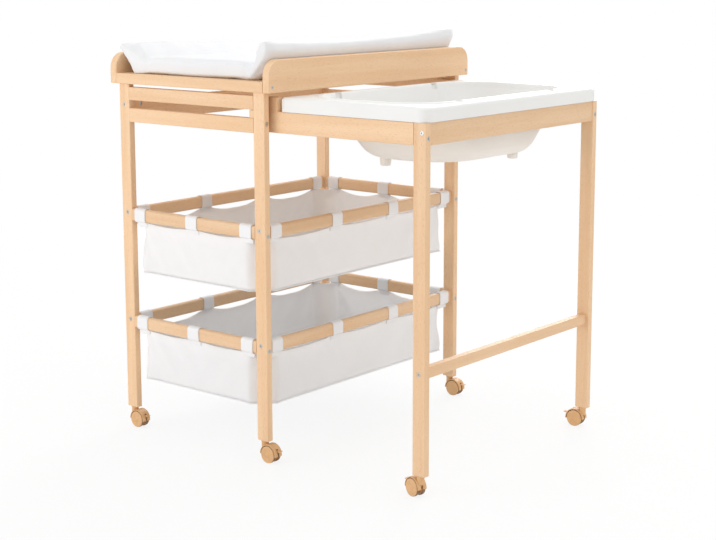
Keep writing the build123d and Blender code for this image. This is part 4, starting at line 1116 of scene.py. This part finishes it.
# Casters: twin wheels under a hood with a neck, and a brake lever that looks out at the back
casterFacts = {
    "axle": 0.021, "trail": 0.018, "steps": 56, "degreesPerStep": 6, "weld": 0.000004,
    "soft": 0.00025,
    # outlines are points of (radius, place along the axis), and spans are in degrees
    "wheel": [(0.0, 0.0049), (0.0194, 0.0049), (0.0205, 0.0054), (0.021, 0.0064), (0.021, 0.0078),
              (0.0205, 0.0082), (0.0205, 0.0088), (0.021, 0.0092), (0.021, 0.0106), (0.0205, 0.0110),
              (0.0205, 0.0116), (0.0209, 0.0120), (0.0203, 0.0131), (0.0190, 0.0137), (0.0178, 0.0137),
              (0.0168, 0.0132), (0.0068, 0.0130), (0.0060, 0.0131), (0.0052, 0.0136), (0.003, 0.0139),
              (0.0, 0.0140)],
    "tread": (0.0192, 0.0119),
    "hub": [(0.0, -0.0045), (0.0066, -0.0045), (0.007, -0.0041), (0.007, 0.0041), (0.0066, 0.0045),
            (0.0, 0.0045)],
    "hood": [(0.0226, 0.0030), (0.0246, 0.0030), (0.0250, 0.0034), (0.0250, 0.0116), (0.0247, 0.0123),
             (0.0241, 0.0126), (0.0231, 0.0126), (0.0226, 0.0123)],
    "hoodSpan": (-7.0, 182.0),
    "web": [(0.004, -0.0042), (0.0247, -0.0042), (0.0247, 0.0042), (0.004, 0.0042)],
    "webSpan": (38.0, 160.0),
    "neck": [(0.0, 0.031), (0.004, 0.031), (0.0088, 0.031), (0.0088, 0.045), (0.0092, 0.0485),
             (0.0098, 0.0495), (0.0098, 0.0512), (0.0093, 0.0517), (0.0, 0.0517)],
    "neckFoot": 0.032, "neckInto": 0.0238,
    # the lever: length, thickness and half width, and where its wide tip begins
    "lever": (0.0212, 0.0024, 0.0026), "leverCuts": (0.004, 0.009), "leverRise": 0.0012,
    "leverEdge": 0.001, "tip": (0.0142, 0.0060), "tipLength": 0.002, "hair": 0.0001,
}


def sweep(bm, outline, centre, axis, span=None):
    # Sweeps an outline about the axle or the neck's line
    full = span is None
    start, end = (0.0, 360.0) if full else span
    turn = Matrix.Rotation(radians(start), 3, axis)
    line = []
    for radius, along in outline:
        place = Vector((radius, along, 0)) if abs(axis.y) > 0.5 else Vector((radius, 0, along))
        line.append(bm.verts.new(turn @ place + centre))
    pairs = list(zip(line, line[1:])) + ([] if full else [(line[-1], line[0])])
    edges = [bm.edges.new(pair) for pair in pairs]
    steps = casterFacts["steps"] if full else round((end - start) / casterFacts["degreesPerStep"])
    made = ops.spin(bm, geom=line + edges, cent=centre, axis=axis, angle=radians(end - start),
                    steps=steps, use_merge=full)
    if not full:
        ops.contextual_create(bm, geom=edges)
        ops.contextual_create(bm, geom=[g for g in made["geom_last"] if isinstance(g, bmesh.types.BMEdge)])
    ops.remove_doubles(bm, verts=bm.verts, dist=casterFacts["weld"])


def finishPiece(name, bm, turn, place, materials, body, node):
    turnOut(bm)
    turnAndMove(bm, turn, place)
    obj = addObject(name, bm)
    addModifier(obj, "soft", "BEVEL", width=casterFacts["soft"], segments=2, limit_method="ANGLE")
    addModifier(obj, "shade", "WEIGHTED_NORMAL", keep_sharp=True)
    tie(obj, body, node, materials)


def makeCaster(name, turn, place):
    f = casterFacts
    axleAt = Vector((f["trail"], 0, f["axle"]))
    axle, up = Vector((0, -1, 0)), Vector((0, 0, 1))
    wheels = bmesh.new()
    for side in (-1, 1):
        sweep(wheels, [(r, side * y) for r, y in f["wheel"]], axleAt, axle)
    turnOut(wheels)
    # faces of the tread get the dark painted shade, the rest the plain caster plastic
    treadRadius, treadHalf = f["tread"]
    for face in wheels.faces:
        middle = face.calc_center_median()
        radius = hypot(middle.x - axleAt.x, middle.z - axleAt.z)
        face.material_index = 1 if radius > treadRadius and abs(middle.y) < treadHalf else 0
    finishPiece("wheels_" + name, wheels, turn, place, (casterPlastic, casterTread), "wheels_" + name,
                "caster_wheels_" + name)
    hood = bmesh.new()
    sweep(hood, f["hub"], axleAt, axle)
    sweep(hood, f["web"], axleAt, axle, f["webSpan"])
    for side in (-1, 1):
        sweep(hood, [(r, side * y) for r, y in f["hood"]], axleAt, axle, f["hoodSpan"])
    before = set(hood.verts)
    sweep(hood, f["neck"], Vector((0, 0, 0)), up)
    for v in hood.verts:
        reach = v.co.x - axleAt.x
        if v not in before and v.co.z < f["neckFoot"] and abs(reach) < f["neckInto"]:
            v.co.z = max(v.co.z, axleAt.z + sqrt(f["neckInto"] ** 2 - reach ** 2))
    finishPiece("hood_" + name, hood, turn, place, (casterPlastic,), "swivel_" + name,
                "caster_housing_" + name)


def makeLever(name, turn, place, pivot):
    f = casterFacts
    reach, thick, half = f["lever"]
    begin, wide = f["tip"]
    bm = bmesh.new()
    addBox(bm, (reach, 2 * half, thick), (reach / 2, 0, 0))
    for cut in (*f["leverCuts"], begin, begin + f["tipLength"]):
        ops.bisect_plane(bm, geom=everything(bm), plane_co=(cut, 0, 0), plane_no=(1, 0, 0))
    for v in bm.verts:
        if v.co.x > begin + f["tipLength"] / 2:
            v.co.y *= wide / half
        v.co.z += f["leverRise"] * max(0.0, (v.co.x - begin) / (reach - begin)) ** 2
    ends = [e for e in bm.edges if all(v.co.x > reach - f["hair"] for v in e.verts)
            or all(v.co.x < f["hair"] for v in e.verts)]
    bevel(bm, ends, f["leverEdge"], 3)
    ops.translate(bm, vec=pivot, verts=bm.verts)
    finishPiece("lever_" + name, bm, turn, place, (casterPlastic,), "brake_" + name,
                "caster_brake_" + name)


joints = {joint["name"]: joint for joint in frame["joints"]}
for name in ("front_left", "front_right", "back_left", "back_right", "tub_front", "tub_back"):
    swivel, wheelJoint, brake = (joints[kind + name] for kind in ("swivel_", "wheels_", "brake_"))
    axis = wheelJoint["axis"]
    turn = Matrix.Rotation(atan2(-axis[0], axis[1]), 3, "Z")
    place = Vector((swivel["pos_m"][0], swivel["pos_m"][1], 0))
    makeCaster(name, turn, place)
    makeLever(name, turn, place, turn.inverted() @ (Vector(brake["pos_m"]) - place))
print("casters made")
